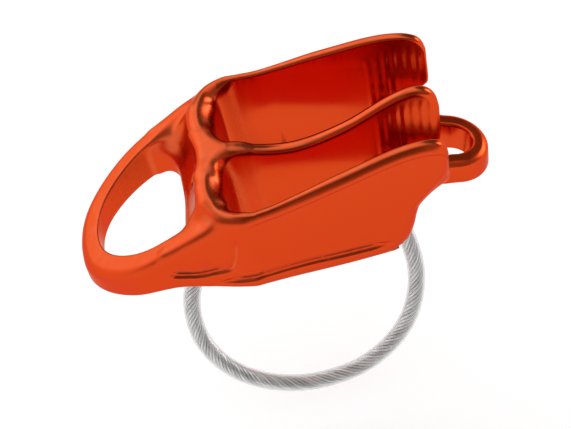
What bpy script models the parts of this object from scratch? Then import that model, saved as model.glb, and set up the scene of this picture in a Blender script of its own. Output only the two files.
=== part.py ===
"""Guide mode belay device: one forged aluminium body and a sleeved steel keeper cable.

Metres, +Z up. The origin is the middle of the attachment eye. +X runs along the two rope slots
to the release eye, Y runs across the slots, and the ropes pass through the slots along Z.
"""

import math
from dataclasses import dataclass, replace

import bmesh
import bpy
import numpy as np
from mathutils import Matrix, Vector

# Walls of the forged body
WALL = 0.0027
WEB_WALL = 0.0027
LOBE_WALL = 0.0029
LOBE_DRAFT = 0.0022
RIM_ROUNDING = 0.0011
SLAB_ROUNDING = 0.0005
SLAB_CORNER = 0.0016
FLUSH_STEP = 0.0003

# Rope slots: width at their round end, where that end stands, and how the side plates close in
SLOT_WIDTH = 0.0158
SLOT_START = 0.0157
PLATE_TAPER = math.radians(6.8)

# Heights above the middle of the attachment eye
BASE_Z = -0.0068
RIM_Z = 0.0198

# Side plate seen from the side: X, Z along its top edge and along its bottom edge
PLATE_TOP = [
    (0.0120, RIM_Z), (0.0250, 0.0200), (0.0310, 0.0206), (0.0360, 0.0218), (0.0400, 0.0230),
    (0.0450, 0.0245), (0.0504, 0.0260), (0.0540, 0.0267), (0.0570, 0.0270), (0.0600, 0.0268),
    (0.0620, 0.0258), (0.0630, 0.0243), (0.0635, 0.0222),
]
PLATE_BOTTOM = [
    (0.0080, BASE_Z), (0.0480, BASE_Z), (0.0505, -0.0062), (0.0529, -0.0046), (0.0546, -0.0020),
    (0.0558, 0.0011), (0.0566, 0.0050), (0.0572, 0.0076), (0.0600, 0.0115), (0.0624, 0.0147),
    (0.0632, 0.0163), (0.0635, 0.0192),
]
# Web between the slots, in the same way
WEB_TOP = [
    (0.0160, 0.0195), (0.0191, 0.0195), (0.0214, 0.0187), (0.0250, 0.0171), (0.0290, 0.0159),
    (0.0329, 0.0154), (0.0362, 0.0158), (0.0402, 0.0170), (0.0456, 0.0194), (0.0500, 0.0222),
    (0.0527, 0.0240), (0.0560, 0.0258), (0.0590, 0.0266), (0.0613, 0.0262), (0.0630, 0.0248),
    (0.0640, 0.0230), (0.0646, 0.0200),
]
WEB_BOTTOM = [
    (0.0160, -0.0066), (0.0480, -0.0066), (0.0515, -0.0060), (0.0540, -0.0040), (0.0556, 0.0005),
    (0.0562, 0.0045), (0.0574, 0.0078), (0.0600, 0.0106), (0.0630, 0.0134), (0.0642, 0.0152),
    (0.0646, 0.0180),
]

# Attachment eye: a tall band that leans down from the slots. Plan of half its centre line, with
# the band's half width at each point, then its top and bottom edges seen from the side
EYE_PLAN = [
    (-0.01275, 0.0000, 0.00225), (-0.01260, 0.0022, 0.00225), (-0.01215, 0.0044, 0.00223),
    (-0.01120, 0.0065, 0.00220), (-0.00965, 0.0087, 0.00220), (-0.00750, 0.01075, 0.00220),
    (-0.00510, 0.01235, 0.00220), (-0.00240, 0.01365, 0.00220), (0.0010, 0.01460, 0.00225),
    (0.0045, 0.01505, 0.00240), (0.0080, 0.01530, 0.00255), (0.0120, 0.01590, 0.00240),
    (0.0160, 0.01660, 0.00200), (0.0190, 0.01740, 0.00140), (0.0215, 0.01810, 0.00105),
]
EYE_TOP = [(-0.0160, -0.0075), (0.0093, 0.0115), (0.0160, 0.0160), (0.0200, 0.0184), (0.0240, 0.0190)]
EYE_BOTTOM = [
    (-0.0160, -0.0140), (0.0054, -0.0034), (0.0100, -0.0036), (0.0130, -0.0053), (0.0160, -0.0064),
    (0.0240, -0.0065),
]
EYE_OUTER_ROUNDING = 0.0017
EYE_INNER_ROUNDING = 0.0005

# Release eye and the low wall that carries it
RELEASE_EYE_WIDTH = 0.0072
RELEASE_BAND = 0.0032
RELEASE_BOTTOM_Z = 0.0
RELEASE_TOP_Z = 0.0062
RELEASE_TIP_X = 0.0742
RELEASE_SPREAD = 0.0016
END_WALL_X = 0.0525
END_WALL = 0.0038
END_WALL_TOP_Z = 0.0064

# Bosses that hold the ends of the keeper cable
BOSS_RADIUS = 0.0042
BOSS_TOP_Z = 0.0112
VALLEY_X = 0.0140
VALLEY_HALF_WIDTH = 0.0046
ANCHOR_X = 0.0128
TAIL_X = 0.0522
PIN_HOLE_RADIUS = 0.0007
BORE_DEPTH = 0.0105
MOUTH_FLARE = 0.0012
MOUTH_DEPTH = 0.0018

# Keeper cable: wire rope in a clear sleeve, pinched in a steel ferrule at each end
CABLE_DIAMETER = 0.0039
CORE_DIAMETER = 0.0027
SLEEVE_BORE = 0.0033
FERRULE_LENGTH = 0.0066
FERRULE_SEAT = 0.0018
CLEARANCE = 0.0003
LOOP_SWING = math.radians(24.0)
# The loop's route from bore to bore: X, and depth below the bores' mouths in the loop's plane
LOOP_ROUTE = [
    (ANCHOR_X, 0.0000), (0.0125, 0.0030), (0.0107, 0.0075), (0.0080, 0.0125), (0.0057, 0.0180),
    (0.0049, 0.0243), (0.0057, 0.0306), (0.0083, 0.0364), (0.0122, 0.0411), (0.0171, 0.0444),
    (0.0224, 0.0464), (0.0280, 0.0472), (0.0336, 0.0468), (0.0392, 0.0454), (0.0443, 0.0427),
    (0.0489, 0.0387), (0.0525, 0.0337), (0.0548, 0.0276), (0.0557, 0.0212), (0.0553, 0.0155),
    (0.0541, 0.0095), (0.0527, 0.0040), (TAIL_X, 0.0000),
]

ARC_STEPS = 5
PLATE_STEPS = 14
NOSE_STEPS = 5
NOSE_TIP = 0.35
WEB_JOIN_ANGLE = 262
WEB_JOIN_SHARE = 0.30
SLOT_RADIUS = SLOT_WIDTH / 2
SLOT_Y = WEB_WALL / 2 + SLOT_RADIUS
SLOT_CENTRE_X = SLOT_START + SLOT_RADIUS
SLEEVE_RADIUS = CABLE_DIAMETER / 2
BORE_RADIUS = SLEEVE_RADIUS + CLEARANCE


@dataclass
class Station:
    """A place on a wall's middle line, with half its width there.

    The draft widens the wall's left side towards the bottom, and its top edge is lowered.
    """

    x: float
    y: float
    half: float
    draft: float = 0.0
    lowered: float = 0.0


def clear_scene():
    """Start from an empty scene."""
    for old in list(bpy.data.objects):
        bpy.data.objects.remove(old, do_unlink=True)


def new_collection(name):
    """A collection under the scene."""
    group = bpy.data.collections.new(name)
    bpy.context.scene.collection.children.link(group)
    return group


def new_material(name, colour, metallic, roughness):
    """A Principled material in one colour."""
    material = bpy.data.materials.new(name)
    material.use_nodes = True
    shader = material.node_tree.nodes["Principled BSDF"]
    shader.inputs["Base Color"].default_value = (*colour, 1.0)
    shader.inputs["Metallic"].default_value = metallic
    shader.inputs["Roughness"].default_value = roughness
    return material


def rounded_outline(corners):
    """Points round a closed polygon whose corners (x, y, radius) are rounded by arcs."""
    points = []
    count = len(corners)
    for index, (x, y, radius) in enumerate(corners):
        corner = Vector((x, y))
        before = Vector(corners[index - 1][:2]) - corner
        after = Vector(corners[(index + 1) % count][:2]) - corner
        opening = before.angle(after)
        reach = min(radius / math.tan(opening / 2), before.length * 0.45, after.length * 0.45)
        start = corner + before.normalized() * reach
        end = corner + after.normalized() * reach
        steps = max(1, round(ARC_STEPS * (math.pi - opening) / (math.pi / 2)))
        for step in range(steps + 1):
            t = step / steps
            points.append(start * (1 - t) ** 2 + corner * 2 * t * (1 - t) + end * t ** 2)
    return points


def arc(centre, radius, first, last, steps):
    """Points on an arc between two angles in degrees."""
    angles = [math.radians(first + (last - first) * step / steps) for step in range(steps + 1)]
    return [Vector((centre[0] + radius * math.cos(a), centre[1] + radius * math.sin(a))) for a in angles]


def smooth_route(points, steps):
    """Catmull-Rom curve through the points."""
    points = [Vector(point) for point in points]
    padded = [2 * points[0] - points[1], *points, 2 * points[-1] - points[-2]]
    route = []
    for a, b, c, d in zip(padded, padded[1:], padded[2:], padded[3:]):
        for step in range(steps):
            t = step / steps
            route.append(0.5 * (2 * b + (c - a) * t + (2 * a - 5 * b + 4 * c - d) * t ** 2
                                + (3 * b - a - 3 * c + d) * t ** 3))
    route.append(points[-1])
    return route


def add_spline(curve, points, closed):
    """One poly spline through the points."""
    spline = curve.splines.new("POLY")
    spline.points.add(len(points) - 1)
    for slot, point in zip(spline.points, points):
        slot.co = (*point.to_3d(), 1.0)
    spline.use_cyclic_u = closed


def curve_to_solid(name, curve, matrix, group):
    """Turn a curve into a welded mesh object that stands where the curve stood."""
    source = bpy.data.objects.new(name + "_curve", curve)
    bpy.context.scene.collection.objects.link(source)
    source.matrix_world = matrix
    bpy.context.view_layer.update()
    depsgraph = bpy.context.evaluated_depsgraph_get()
    mesh = bpy.data.meshes.new_from_object(source.evaluated_get(depsgraph))
    work = bmesh.new()
    work.from_mesh(mesh)
    bmesh.ops.remove_doubles(work, verts=work.verts, dist=2e-6)
    bmesh.ops.dissolve_degenerate(work, edges=work.edges, dist=2e-6)
    bmesh.ops.recalc_face_normals(work, faces=work.faces)
    work.to_mesh(mesh)
    work.free()
    solid = bpy.data.objects.new(name, mesh)
    solid.matrix_world = source.matrix_world
    group.objects.link(solid)
    bpy.data.objects.remove(source, do_unlink=True)
    return solid


def slab(name, outline, thickness, matrix, group):
    """A flat outline with thickness and rounded edges; its middle plane is the matrix's XY plane."""
    curve = bpy.data.curves.new(name, "CURVE")
    curve.dimensions = "2D"
    curve.fill_mode = "BOTH"
    curve.bevel_depth = SLAB_ROUNDING
    curve.bevel_resolution = 1
    curve.offset = -SLAB_ROUNDING
    curve.extrude = thickness / 2 - SLAB_ROUNDING
    add_spline(curve, outline, closed=True)
    return curve_to_solid(name, curve, matrix, group)


def height_at(x, line):
    """Z on a line of (X, Z) points."""
    return float(np.interp(x, [point[0] for point in line], [point[1] for point in line]))


def wall_section(half, height, left_rounding, right_rounding):
    """Half of a wall's section as (offset, share of height, drop), from bottom to top on each side."""
    ring = []
    for side, rounding in ((1, right_rounding), (-1, left_rounding)):
        radius = min(rounding, half * 0.9, height * 0.45)
        angles = [math.pi / 2 * step / 2 for step in range(3)]
        low = [(half - radius + radius * math.sin(a), 0, radius - radius * math.cos(a)) for a in angles]
        high = [(offset, 1, drop) for offset, share, drop in reversed(low)]
        edge = [(side * offset, share, drop) for offset, share, drop in low + high]
        ring.extend(edge if side > 0 else reversed(edge))
    return ring


def wall(name, stations, top, bottom, group, roundings=(RIM_ROUNDING, RIM_ROUNDING)):
    """An upright wall along a line of stations, between a top and a bottom line of (X, Z).

    The roundings are those of its left and right edges.
    """
    work = bmesh.new()
    rings = []
    for index, station in enumerate(stations):
        before = stations[max(index - 1, 0)]
        after = stations[min(index + 1, len(stations) - 1)]
        along = Vector((after.x - before.x, after.y - before.y)).normalized()
        right = Vector((along.y, -along.x))
        height = height_at(station.x, top) - height_at(station.x, bottom)
        ring = []
        for offset, share, drop in wall_section(station.half, height, *roundings):
            widen = station.draft * (1 - share) if offset < 0 else 0.0
            place = Vector((station.x, station.y)) + right * (offset - widen)
            if share:
                z = height_at(place.x, top) - drop - station.lowered
            else:
                z = height_at(place.x, bottom) + drop
            ring.append(work.verts.new((place.x, place.y, z)))
        rings.append(ring)
    for ring, following in zip(rings, rings[1:]):
        for index in range(len(ring)):
            other = (index + 1) % len(ring)
            work.faces.new((ring[index], ring[other], following[other], following[index]))
    work.faces.new(rings[0])
    work.faces.new(rings[-1])
    bmesh.ops.recalc_face_normals(work, faces=work.faces)
    return finish_solid(name, work, group)


def finish_solid(name, work, group):
    """Put a finished bmesh in the scene as an object."""
    mesh = bpy.data.meshes.new(name)
    work.to_mesh(mesh)
    work.free()
    solid = bpy.data.objects.new(name, mesh)
    group.objects.link(solid)
    return solid


def tube(name, path, radius, group, resolution=2):
    """A round tube along a path, with closed ends."""
    curve = bpy.data.curves.new(name, "CURVE")
    curve.dimensions = "3D"
    curve.bevel_depth = radius
    curve.bevel_resolution = resolution
    curve.use_fill_caps = True
    add_spline(curve, path, closed=False)
    return curve_to_solid(name, curve, Matrix.Identity(4), group)


def turned(name, x, profile, group, sides=32):
    """A solid turned about an upright line at X in the middle plane, from (radius, Z) steps."""
    work = bmesh.new()
    angles = [2 * math.pi * side / sides for side in range(sides)]
    rings = [[work.verts.new((x + radius * math.cos(a), radius * math.sin(a), z)) for a in angles]
             for radius, z in profile]
    for low, high in zip(rings, rings[1:]):
        for side in range(sides):
            other = (side + 1) % sides
            work.faces.new((low[side], low[other], high[other], high[side]))
    work.faces.new(reversed(rings[0]))
    work.faces.new(rings[-1])
    return finish_solid(name, work, group)


def combine(target, operation, other):
    """Add a Boolean to the target; the other solid stays as a hidden guide."""
    modifier = target.modifiers.new(other.name, "BOOLEAN")
    modifier.operation = operation
    modifier.solver = "EXACT"
    modifier.object = other
    other.hide_render = True
    other.display_type = "WIRE"


def plate_inner_y(x):
    """Distance of a side plate's inner face from the middle plane."""
    tangent_x = SLOT_CENTRE_X + SLOT_RADIUS * math.sin(PLATE_TAPER)
    tangent_y = SLOT_Y + SLOT_RADIUS * math.cos(PLATE_TAPER)
    return tangent_y - (x - tangent_x) * math.tan(PLATE_TAPER)


def nose(start, end, half):
    """X and half width of the points that round off a wall's upright end edge."""
    points = []
    for step in range(1, NOSE_STEPS + 1):
        angle = math.pi / 2 * step / NOSE_STEPS
        points.append((start + (end - start) * math.sin(angle),
                       half * (0.35 + 0.65 * math.cos(angle))))
    return points


def side_wall_stations(start_x):
    """Stations of a slot's wall: out of the web, round the slot's end, along the side plate."""
    radius = SLOT_RADIUS + LOBE_WALL / 2
    last = 90 - math.degrees(PLATE_TAPER)
    bend = arc((SLOT_CENTRE_X, SLOT_Y), radius, WEB_JOIN_ANGLE, last, 26)
    rim = height_at(start_x, PLATE_TOP)
    stations = [Station(start_x, FLUSH_STEP, WEB_WALL * 0.42,
                        lowered=rim - height_at(start_x, WEB_TOP) + FLUSH_STEP)]
    for index, point in enumerate(bend):
        share = index / (len(bend) - 1)
        joined = max(0.0, 1 - share / WEB_JOIN_SHARE)
        dip = height_at(point.x, PLATE_TOP) - height_at(point.x, WEB_TOP)
        stations.append(Station(
            point.x, point.y, LOBE_WALL / 2 + (WALL - LOBE_WALL) / 2 * share,
            draft=LOBE_DRAFT * math.sin(math.pi * share) ** 2,
            lowered=max(0.0, dip) * joined ** 0.5))
    end_x = PLATE_TOP[-1][0]
    for x, half in straight_and_nose(bend[-1].x, end_x, WALL / 2)[1:]:
        stations.append(Station(x, plate_inner_y(x) + WALL / 2 / math.cos(PLATE_TAPER), half))
    return stations


def straight_and_nose(start, end, half):
    """X and half width along a straight wall whose upright end edge is rounded off."""
    nose_start = end - 2 * half
    points = [(start + (nose_start - start) * step / PLATE_STEPS, half)
              for step in range(PLATE_STEPS + 1)]
    for step in range(1, NOSE_STEPS + 1):
        angle = math.pi / 2 * step / NOSE_STEPS
        points.append((nose_start + (end - nose_start) * math.sin(angle),
                       half * (NOSE_TIP + (1 - NOSE_TIP) * math.cos(angle))))
    return points


def web_stations():
    """Stations of the web between the slots."""
    points = straight_and_nose(WEB_TOP[0][0], WEB_TOP[-1][0], WEB_WALL / 2)
    return [Station(x, 0.0, half) for x, half in points]


def mirrored(stations):
    """The same line on the near side of the middle plane, run the other way."""
    return [replace(station, y=-station.y) for station in reversed(stations)]


def eye_stations():
    """Stations of the attachment eye's band, from the near side plate round to the far one."""
    far = [Station(*point) for point in EYE_PLAN]
    return mirrored(far)[:-1] + far


def release_eye_stations():
    """Stations of the release eye's band, from the end wall round and back."""
    radius = (RELEASE_EYE_WIDTH + RELEASE_BAND) / 2
    centre_x = RELEASE_TIP_X - RELEASE_BAND / 2 - radius
    root_x = END_WALL_X + END_WALL / 2
    root_y = radius + RELEASE_SPREAD
    bend = arc((centre_x, 0.0), radius, -90, 90, 20)
    points = [Vector((root_x, -root_y)), *bend, Vector((root_x, root_y))]
    return [Station(point.x, point.y, RELEASE_BAND / 2) for point in points]


def end_wall_outline():
    """Outline in X and Z of the low wall across the open end of the slots."""
    top = END_WALL_TOP_Z
    end = END_WALL_X + END_WALL
    return rounded_outline([
        (END_WALL_X - END_WALL / 2, BASE_Z + FLUSH_STEP, SLAB_CORNER),
        (end - END_WALL / 2, -0.0032, SLAB_CORNER),
        (end, top, SLAB_CORNER),
        (END_WALL_X, top, SLAB_CORNER),
    ])


def valley_outline():
    """Plan of the metal between the two round slot ends, over the anchor boss."""
    inner_x = SLOT_START + LOBE_WALL
    return rounded_outline([
        (VALLEY_X, VALLEY_HALF_WIDTH, SLAB_CORNER),
        (VALLEY_X, -VALLEY_HALF_WIDTH, SLAB_CORNER),
        (inner_x, -VALLEY_HALF_WIDTH * 0.55, SLAB_CORNER),
        (inner_x, VALLEY_HALF_WIDTH * 0.55, SLAB_CORNER),
    ])


def loop_route():
    """The keeper cable's centre line in space, swung about the line through its two mouths."""
    flat = smooth_route([Vector(point) for point in LOOP_ROUTE], 3)
    return [Vector((p.x, -p.y * math.sin(LOOP_SWING), BASE_Z - p.y * math.cos(LOOP_SWING))) for p in flat]


def build_body(parts, guides):
    """The one-piece forging: walls, web, both eyes and the bosses, then its bores."""
    body = wall("forged_body", side_wall_stations(SLOT_CENTRE_X), PLATE_TOP, PLATE_BOTTOM, parts)
    near = wall("near_wall", mirrored(side_wall_stations(SLOT_CENTRE_X + WEB_WALL / 2)),
                PLATE_TOP, PLATE_BOTTOM, guides)
    web = wall("web", web_stations(), WEB_TOP, WEB_BOTTOM, guides)
    eye = wall("eye_band", eye_stations(), EYE_TOP, EYE_BOTTOM, guides,
               roundings=(EYE_OUTER_ROUNDING, EYE_INNER_ROUNDING))
    level_top = [(0.0, RELEASE_TOP_Z), (RELEASE_TIP_X, RELEASE_TOP_Z)]
    level_bottom = [(0.0, RELEASE_BOTTOM_Z), (RELEASE_TIP_X, RELEASE_BOTTOM_Z)]
    release = wall("release_band", release_eye_stations(), level_top, level_bottom, guides)
    across = 2 * plate_inner_y(END_WALL_X) + WALL
    end_wall = slab("end_wall", end_wall_outline(), across, Matrix.Rotation(math.pi / 2, 4, "X"),
                    guides)
    tall = RIM_Z - BASE_Z - 3 * FLUSH_STEP
    valley = slab("valley", valley_outline(), tall,
                  Matrix.Translation((0.0, 0.0, (RIM_Z + BASE_Z) / 2)), guides)
    anchor = turned("anchor_boss", ANCHOR_X, [
        (BOSS_RADIUS, BASE_Z + FLUSH_STEP / 2), (BOSS_RADIUS, BOSS_TOP_Z)], guides)
    tail = turned("tail_boss", TAIL_X, [
        (BOSS_RADIUS, BASE_Z + FLUSH_STEP / 2), (BOSS_RADIUS, BASE_Z + BORE_DEPTH + WALL)], guides)
    for solid in (near, web, valley, eye, end_wall, release, anchor, tail):
        combine(body, "UNION", solid)
    wide = BORE_RADIUS + MOUTH_FLARE * (1 + WALL / MOUTH_DEPTH)
    bore = [(wide, BASE_Z - WALL), (BORE_RADIUS, BASE_Z + MOUTH_DEPTH),
            (BORE_RADIUS, BASE_Z + BORE_DEPTH)]
    pin_hole = [(PIN_HOLE_RADIUS, BASE_Z + BORE_DEPTH), (PIN_HOLE_RADIUS, BOSS_TOP_Z + WALL)]
    combine(body, "DIFFERENCE", turned("anchor_bore", ANCHOR_X, bore + pin_hole, guides))
    combine(body, "DIFFERENCE", turned("tail_bore", TAIL_X, bore, guides))
    return body


def build_ferrules(parts):
    """The steel ferrules pinched on the cable's ends, seated in the two bores."""
    bottom = BASE_Z + FERRULE_SEAT
    radius = BORE_RADIUS - CLEARANCE
    profile = [(radius, bottom), (radius, bottom + FERRULE_LENGTH)]
    return [turned("anchor_ferrule", ANCHOR_X, profile, parts, sides=24),
            turned("tail_ferrule", TAIL_X, profile, parts, sides=24)]


def build_keeper(parts, guides, pivot):
    """The keeper loop below its two mouths: wire rope core and clear sleeve, on one pivot."""
    route = loop_route()
    core = tube("keeper_wire_rope", route, CORE_DIAMETER / 2, parts)
    sleeve = tube("keeper_sleeve", route, SLEEVE_RADIUS, parts, resolution=3)
    bore_route = [route[0] + (route[0] - route[1]), *route, route[-1] + (route[-1] - route[-2])]
    combine(sleeve, "DIFFERENCE", tube("sleeve_bore", bore_route, SLEEVE_BORE / 2, guides))
    for piece in (core, sleeve):
        world = piece.matrix_world.copy()
        piece.parent = pivot
        piece.matrix_parent_inverse = pivot.matrix_world.inverted()
        piece.matrix_world = world
    return core, sleeve


def shade(solid, material):
    """Give a solid its material and smooth shading with sharp edges kept."""
    solid.data.materials.clear()
    solid.data.materials.append(material)
    solid.data.shade_smooth()
    solid.data.set_sharp_from_angle(angle=math.radians(35))


def main():
    """Build the belay device."""
    clear_scene()
    parts = new_collection("guide_mode_belay_device")
    guides = new_collection("cutters")
    pivot = bpy.data.objects.new("keeper_pivot", None)
    pivot.location = ((ANCHOR_X + TAIL_X) / 2, 0.0, BASE_Z)
    parts.objects.link(pivot)
    bpy.context.view_layer.update()
    shade(build_body(parts, guides), new_material("orange_anodised", (0.78, 0.13, 0.03), 0.9, 0.35))
    steel = new_material("ferrule_steel", (0.6, 0.6, 0.6), 1.0, 0.35)
    for ferrule in build_ferrules(parts):
        shade(ferrule, steel)
    core, sleeve = build_keeper(parts, guides, pivot)
    shade(core, new_material("wire_rope", (0.55, 0.56, 0.57), 1.0, 0.4))
    shade(sleeve, new_material("clear_sleeve", (0.85, 0.86, 0.86), 0.0, 0.2))


main()
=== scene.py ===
"""Guide mode belay device, dressed for its portrait: an anodised forging and a sleeved keeper."""

import logging
import math
from dataclasses import dataclass, field
from enum import Enum

import bmesh
import bpy
import numpy as np
from mathutils import Matrix, Vector


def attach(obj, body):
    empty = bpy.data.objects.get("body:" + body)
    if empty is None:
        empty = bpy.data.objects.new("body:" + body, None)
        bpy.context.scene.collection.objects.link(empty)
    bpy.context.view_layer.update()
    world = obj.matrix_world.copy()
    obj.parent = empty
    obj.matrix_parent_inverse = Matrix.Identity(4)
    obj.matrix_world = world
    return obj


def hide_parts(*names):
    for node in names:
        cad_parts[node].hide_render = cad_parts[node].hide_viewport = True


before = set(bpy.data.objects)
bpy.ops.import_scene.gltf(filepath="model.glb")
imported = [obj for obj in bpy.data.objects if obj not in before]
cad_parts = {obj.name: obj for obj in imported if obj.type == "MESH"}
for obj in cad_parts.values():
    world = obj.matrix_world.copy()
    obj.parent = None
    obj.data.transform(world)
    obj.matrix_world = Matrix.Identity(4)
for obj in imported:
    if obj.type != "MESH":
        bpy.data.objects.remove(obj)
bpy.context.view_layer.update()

LOG = logging.getLogger("belay_device")
MM = 0.001
TINY = 1e-6
FAR_OFF = 1.0
WHITE = (1.0, 1.0, 1.0, 1.0)
Span = tuple[float, float]
Point = tuple[float, float, float]
Colour = tuple[float, float, float]
Line = list[Span]
Fed = bpy.types.NodeSocket | bpy.types.ID | float | str | tuple[float, ...]


# Fields: a solid is a signed distance, below zero inside the metal


@dataclass(frozen=True)
class Grid:
    """A block of sample points.

    Args:
        low: lowest corner, in metres.
        high: highest corner, in metres.
        pitch: distance between neighbours, in metres.
    """

    low: Point
    high: Point
    pitch: float

    def axis(self, index: int) -> np.ndarray:
        """Sample positions along one axis."""
        count = int(math.ceil((self.high[index] - self.low[index]) / self.pitch)) + 1
        return (self.low[index] + self.pitch * np.arange(count)).astype(np.float32)


@dataclass(frozen=True)
class PlanPoint:
    """A place on a wall's middle line seen from above, with what the wall is like there.

    Args:
        x: its place along X, in metres.
        y: its place along Y, in metres.
        half: half the wall's thickness, in metres.
        draft: how much less the wall reaches out at its foot, in metres.
        joined: how far its top follows the web's outline, 0 to 1.
    """

    x: float
    y: float
    half: float
    draft: float = 0.0
    joined: float = 0.0


@dataclass
class PlanField:
    """What the points of a plan grid know about the wall line nearest to them.

    Args:
        gap: distance to the wall's face, below zero inside.
        offset: distance from its middle line, above zero on the right of it.
        draft: the line's own draft there.
        joined: the line's own joined share there.
    """

    gap: np.ndarray
    offset: np.ndarray
    draft: np.ndarray
    joined: np.ndarray

    @classmethod
    def of_line(cls, xs: np.ndarray, ys: np.ndarray, line: list[PlanPoint]) -> "PlanField":
        """Measure every plan point against a wall line.

        Args:
            xs: sample positions along X.
            ys: sample positions along Y.
            line: the wall's middle line.

        Returns:
            The distance to the wall's face, the offset from its middle line, which is
            positive on the right, and the line's own values.
        """
        px, py = np.meshgrid(xs, ys, indexing="ij")
        gap = np.full(px.shape, FAR_OFF, np.float32)
        offset, draft, joined = (np.zeros(px.shape, np.float32) for _ in range(3))
        for first, last in zip(line, line[1:]):
            dx, dy = last.x - first.x, last.y - first.y
            span = math.hypot(dx, dy)
            t = np.clip(((px - first.x) * dx + (py - first.y) * dy) / span ** 2, 0, 1)
            ox, oy = px - first.x - t * dx, py - first.y - t * dy
            away = np.hypot(ox, oy) - (first.half + (last.half - first.half) * t)
            nearer = away < gap
            gap = np.where(nearer, away, gap)
            offset = np.where(nearer, (ox * dy - oy * dx) / span, offset)
            draft = np.where(nearer, first.draft + (last.draft - first.draft) * t, draft)
            joined = np.where(nearer, first.joined + (last.joined - first.joined) * t, joined)
        return cls(gap, offset, draft, joined)


def outline_field(us: np.ndarray, vs: np.ndarray, outline: Line) -> np.ndarray:
    """Signed distance to a closed outline in a plane.

    Args:
        us: sample positions along the plane's first axis.
        vs: sample positions along its second axis.
        outline: the outline's points.

    Returns:
        One distance for each pair of positions, below zero inside.
    """
    pu, pv = np.meshgrid(us, vs, indexing="ij")
    away = np.full(pu.shape, FAR_OFF, np.float64)
    inside = np.zeros(pu.shape, bool)
    for (au, av), (bu, bv) in zip(outline, outline[1:] + outline[:1]):
        du, dv = bu - au, bv - av
        span = du * du + dv * dv
        if span == 0:
            continue
        t = np.clip(((pu - au) * du + (pv - av) * dv) / span, 0, 1)
        away = np.minimum(away, np.hypot(pu - au - t * du, pv - av - t * dv))
        if av != bv:
            inside ^= ((av > pv) != (bv > pv)) & (pu < au + du * (pv - av) / dv)
    return np.where(inside, -away, away).astype(np.float32)


def track_field(us: np.ndarray, vs: np.ndarray, track: Line) -> np.ndarray:
    """Distance in a plane to an open line of points.

    Args:
        us: sample positions along the plane's first axis.
        vs: sample positions along its second axis.
        track: the line's points.

    Returns:
        One distance for each pair of positions.
    """
    pu, pv = np.meshgrid(us, vs, indexing="ij")
    away = np.full(pu.shape, FAR_OFF, np.float64)
    for (au, av), (bu, bv) in zip(track, track[1:]):
        du, dv = bu - au, bv - av
        t = np.clip(((pu - au) * du + (pv - av) * dv) / (du * du + dv * dv), 0, 1)
        away = np.minimum(away, np.hypot(pu - au - t * du, pv - av - t * dv))
    return away.astype(np.float32)


def meet(a: np.ndarray, b: np.ndarray, radius: np.ndarray | float) -> np.ndarray:
    """Overlap of two solids whose shared edge is rounded by a radius."""
    edge = np.hypot(np.maximum(a + radius, 0), np.maximum(b + radius, 0))
    return np.minimum(-radius, np.maximum(a, b)) + edge


def melt(a: np.ndarray, b: np.ndarray, reach: np.ndarray | float) -> np.ndarray:
    """Union of two solids that flow into each other over a reach."""
    share = np.maximum(reach - np.abs(a - b), 0) / reach
    return np.minimum(a, b) - share * share * reach / 4


def carve(solid: np.ndarray, tool: np.ndarray, reach: float) -> np.ndarray:
    """Cut a tool out of a solid, with the edge eased over a reach."""
    return -melt(-solid, tool, reach)


def smooth_line(points: Line, steps: int) -> Line:
    """Draw a Catmull-Rom line through points.

    Args:
        points: the points, of any number of values each.
        steps: how many steps there are from each point to the next.

    Returns:
        The smooth line's points.
    """
    padded = [points[0], *points, points[-1]]
    line = []
    for p0, p1, p2, p3 in zip(padded, padded[1:], padded[2:], padded[3:]):
        for step in range(steps):
            t = step / steps
            line.append(tuple(
                0.5 * (2 * b + (c - a) * t + (2 * a - 5 * b + 4 * c - d) * t ** 2
                       + (3 * b - a - 3 * c + d) * t ** 3)
                for a, b, c, d in zip(p0, p1, p2, p3)))
    line.append(tuple(points[-1]))
    return line


def ease(value: np.ndarray, low: float, high: float) -> np.ndarray:
    """Smooth step from 0 at low to 1 at high."""
    t = np.clip((value - low) / (high - low), 0, 1)
    return t * t * (3 - 2 * t)


def unit(vectors: np.ndarray) -> np.ndarray:
    """The rows of an array, each scaled to a length of one."""
    return vectors / np.maximum(np.linalg.norm(vectors, axis=1), TINY)[:, None]


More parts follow.
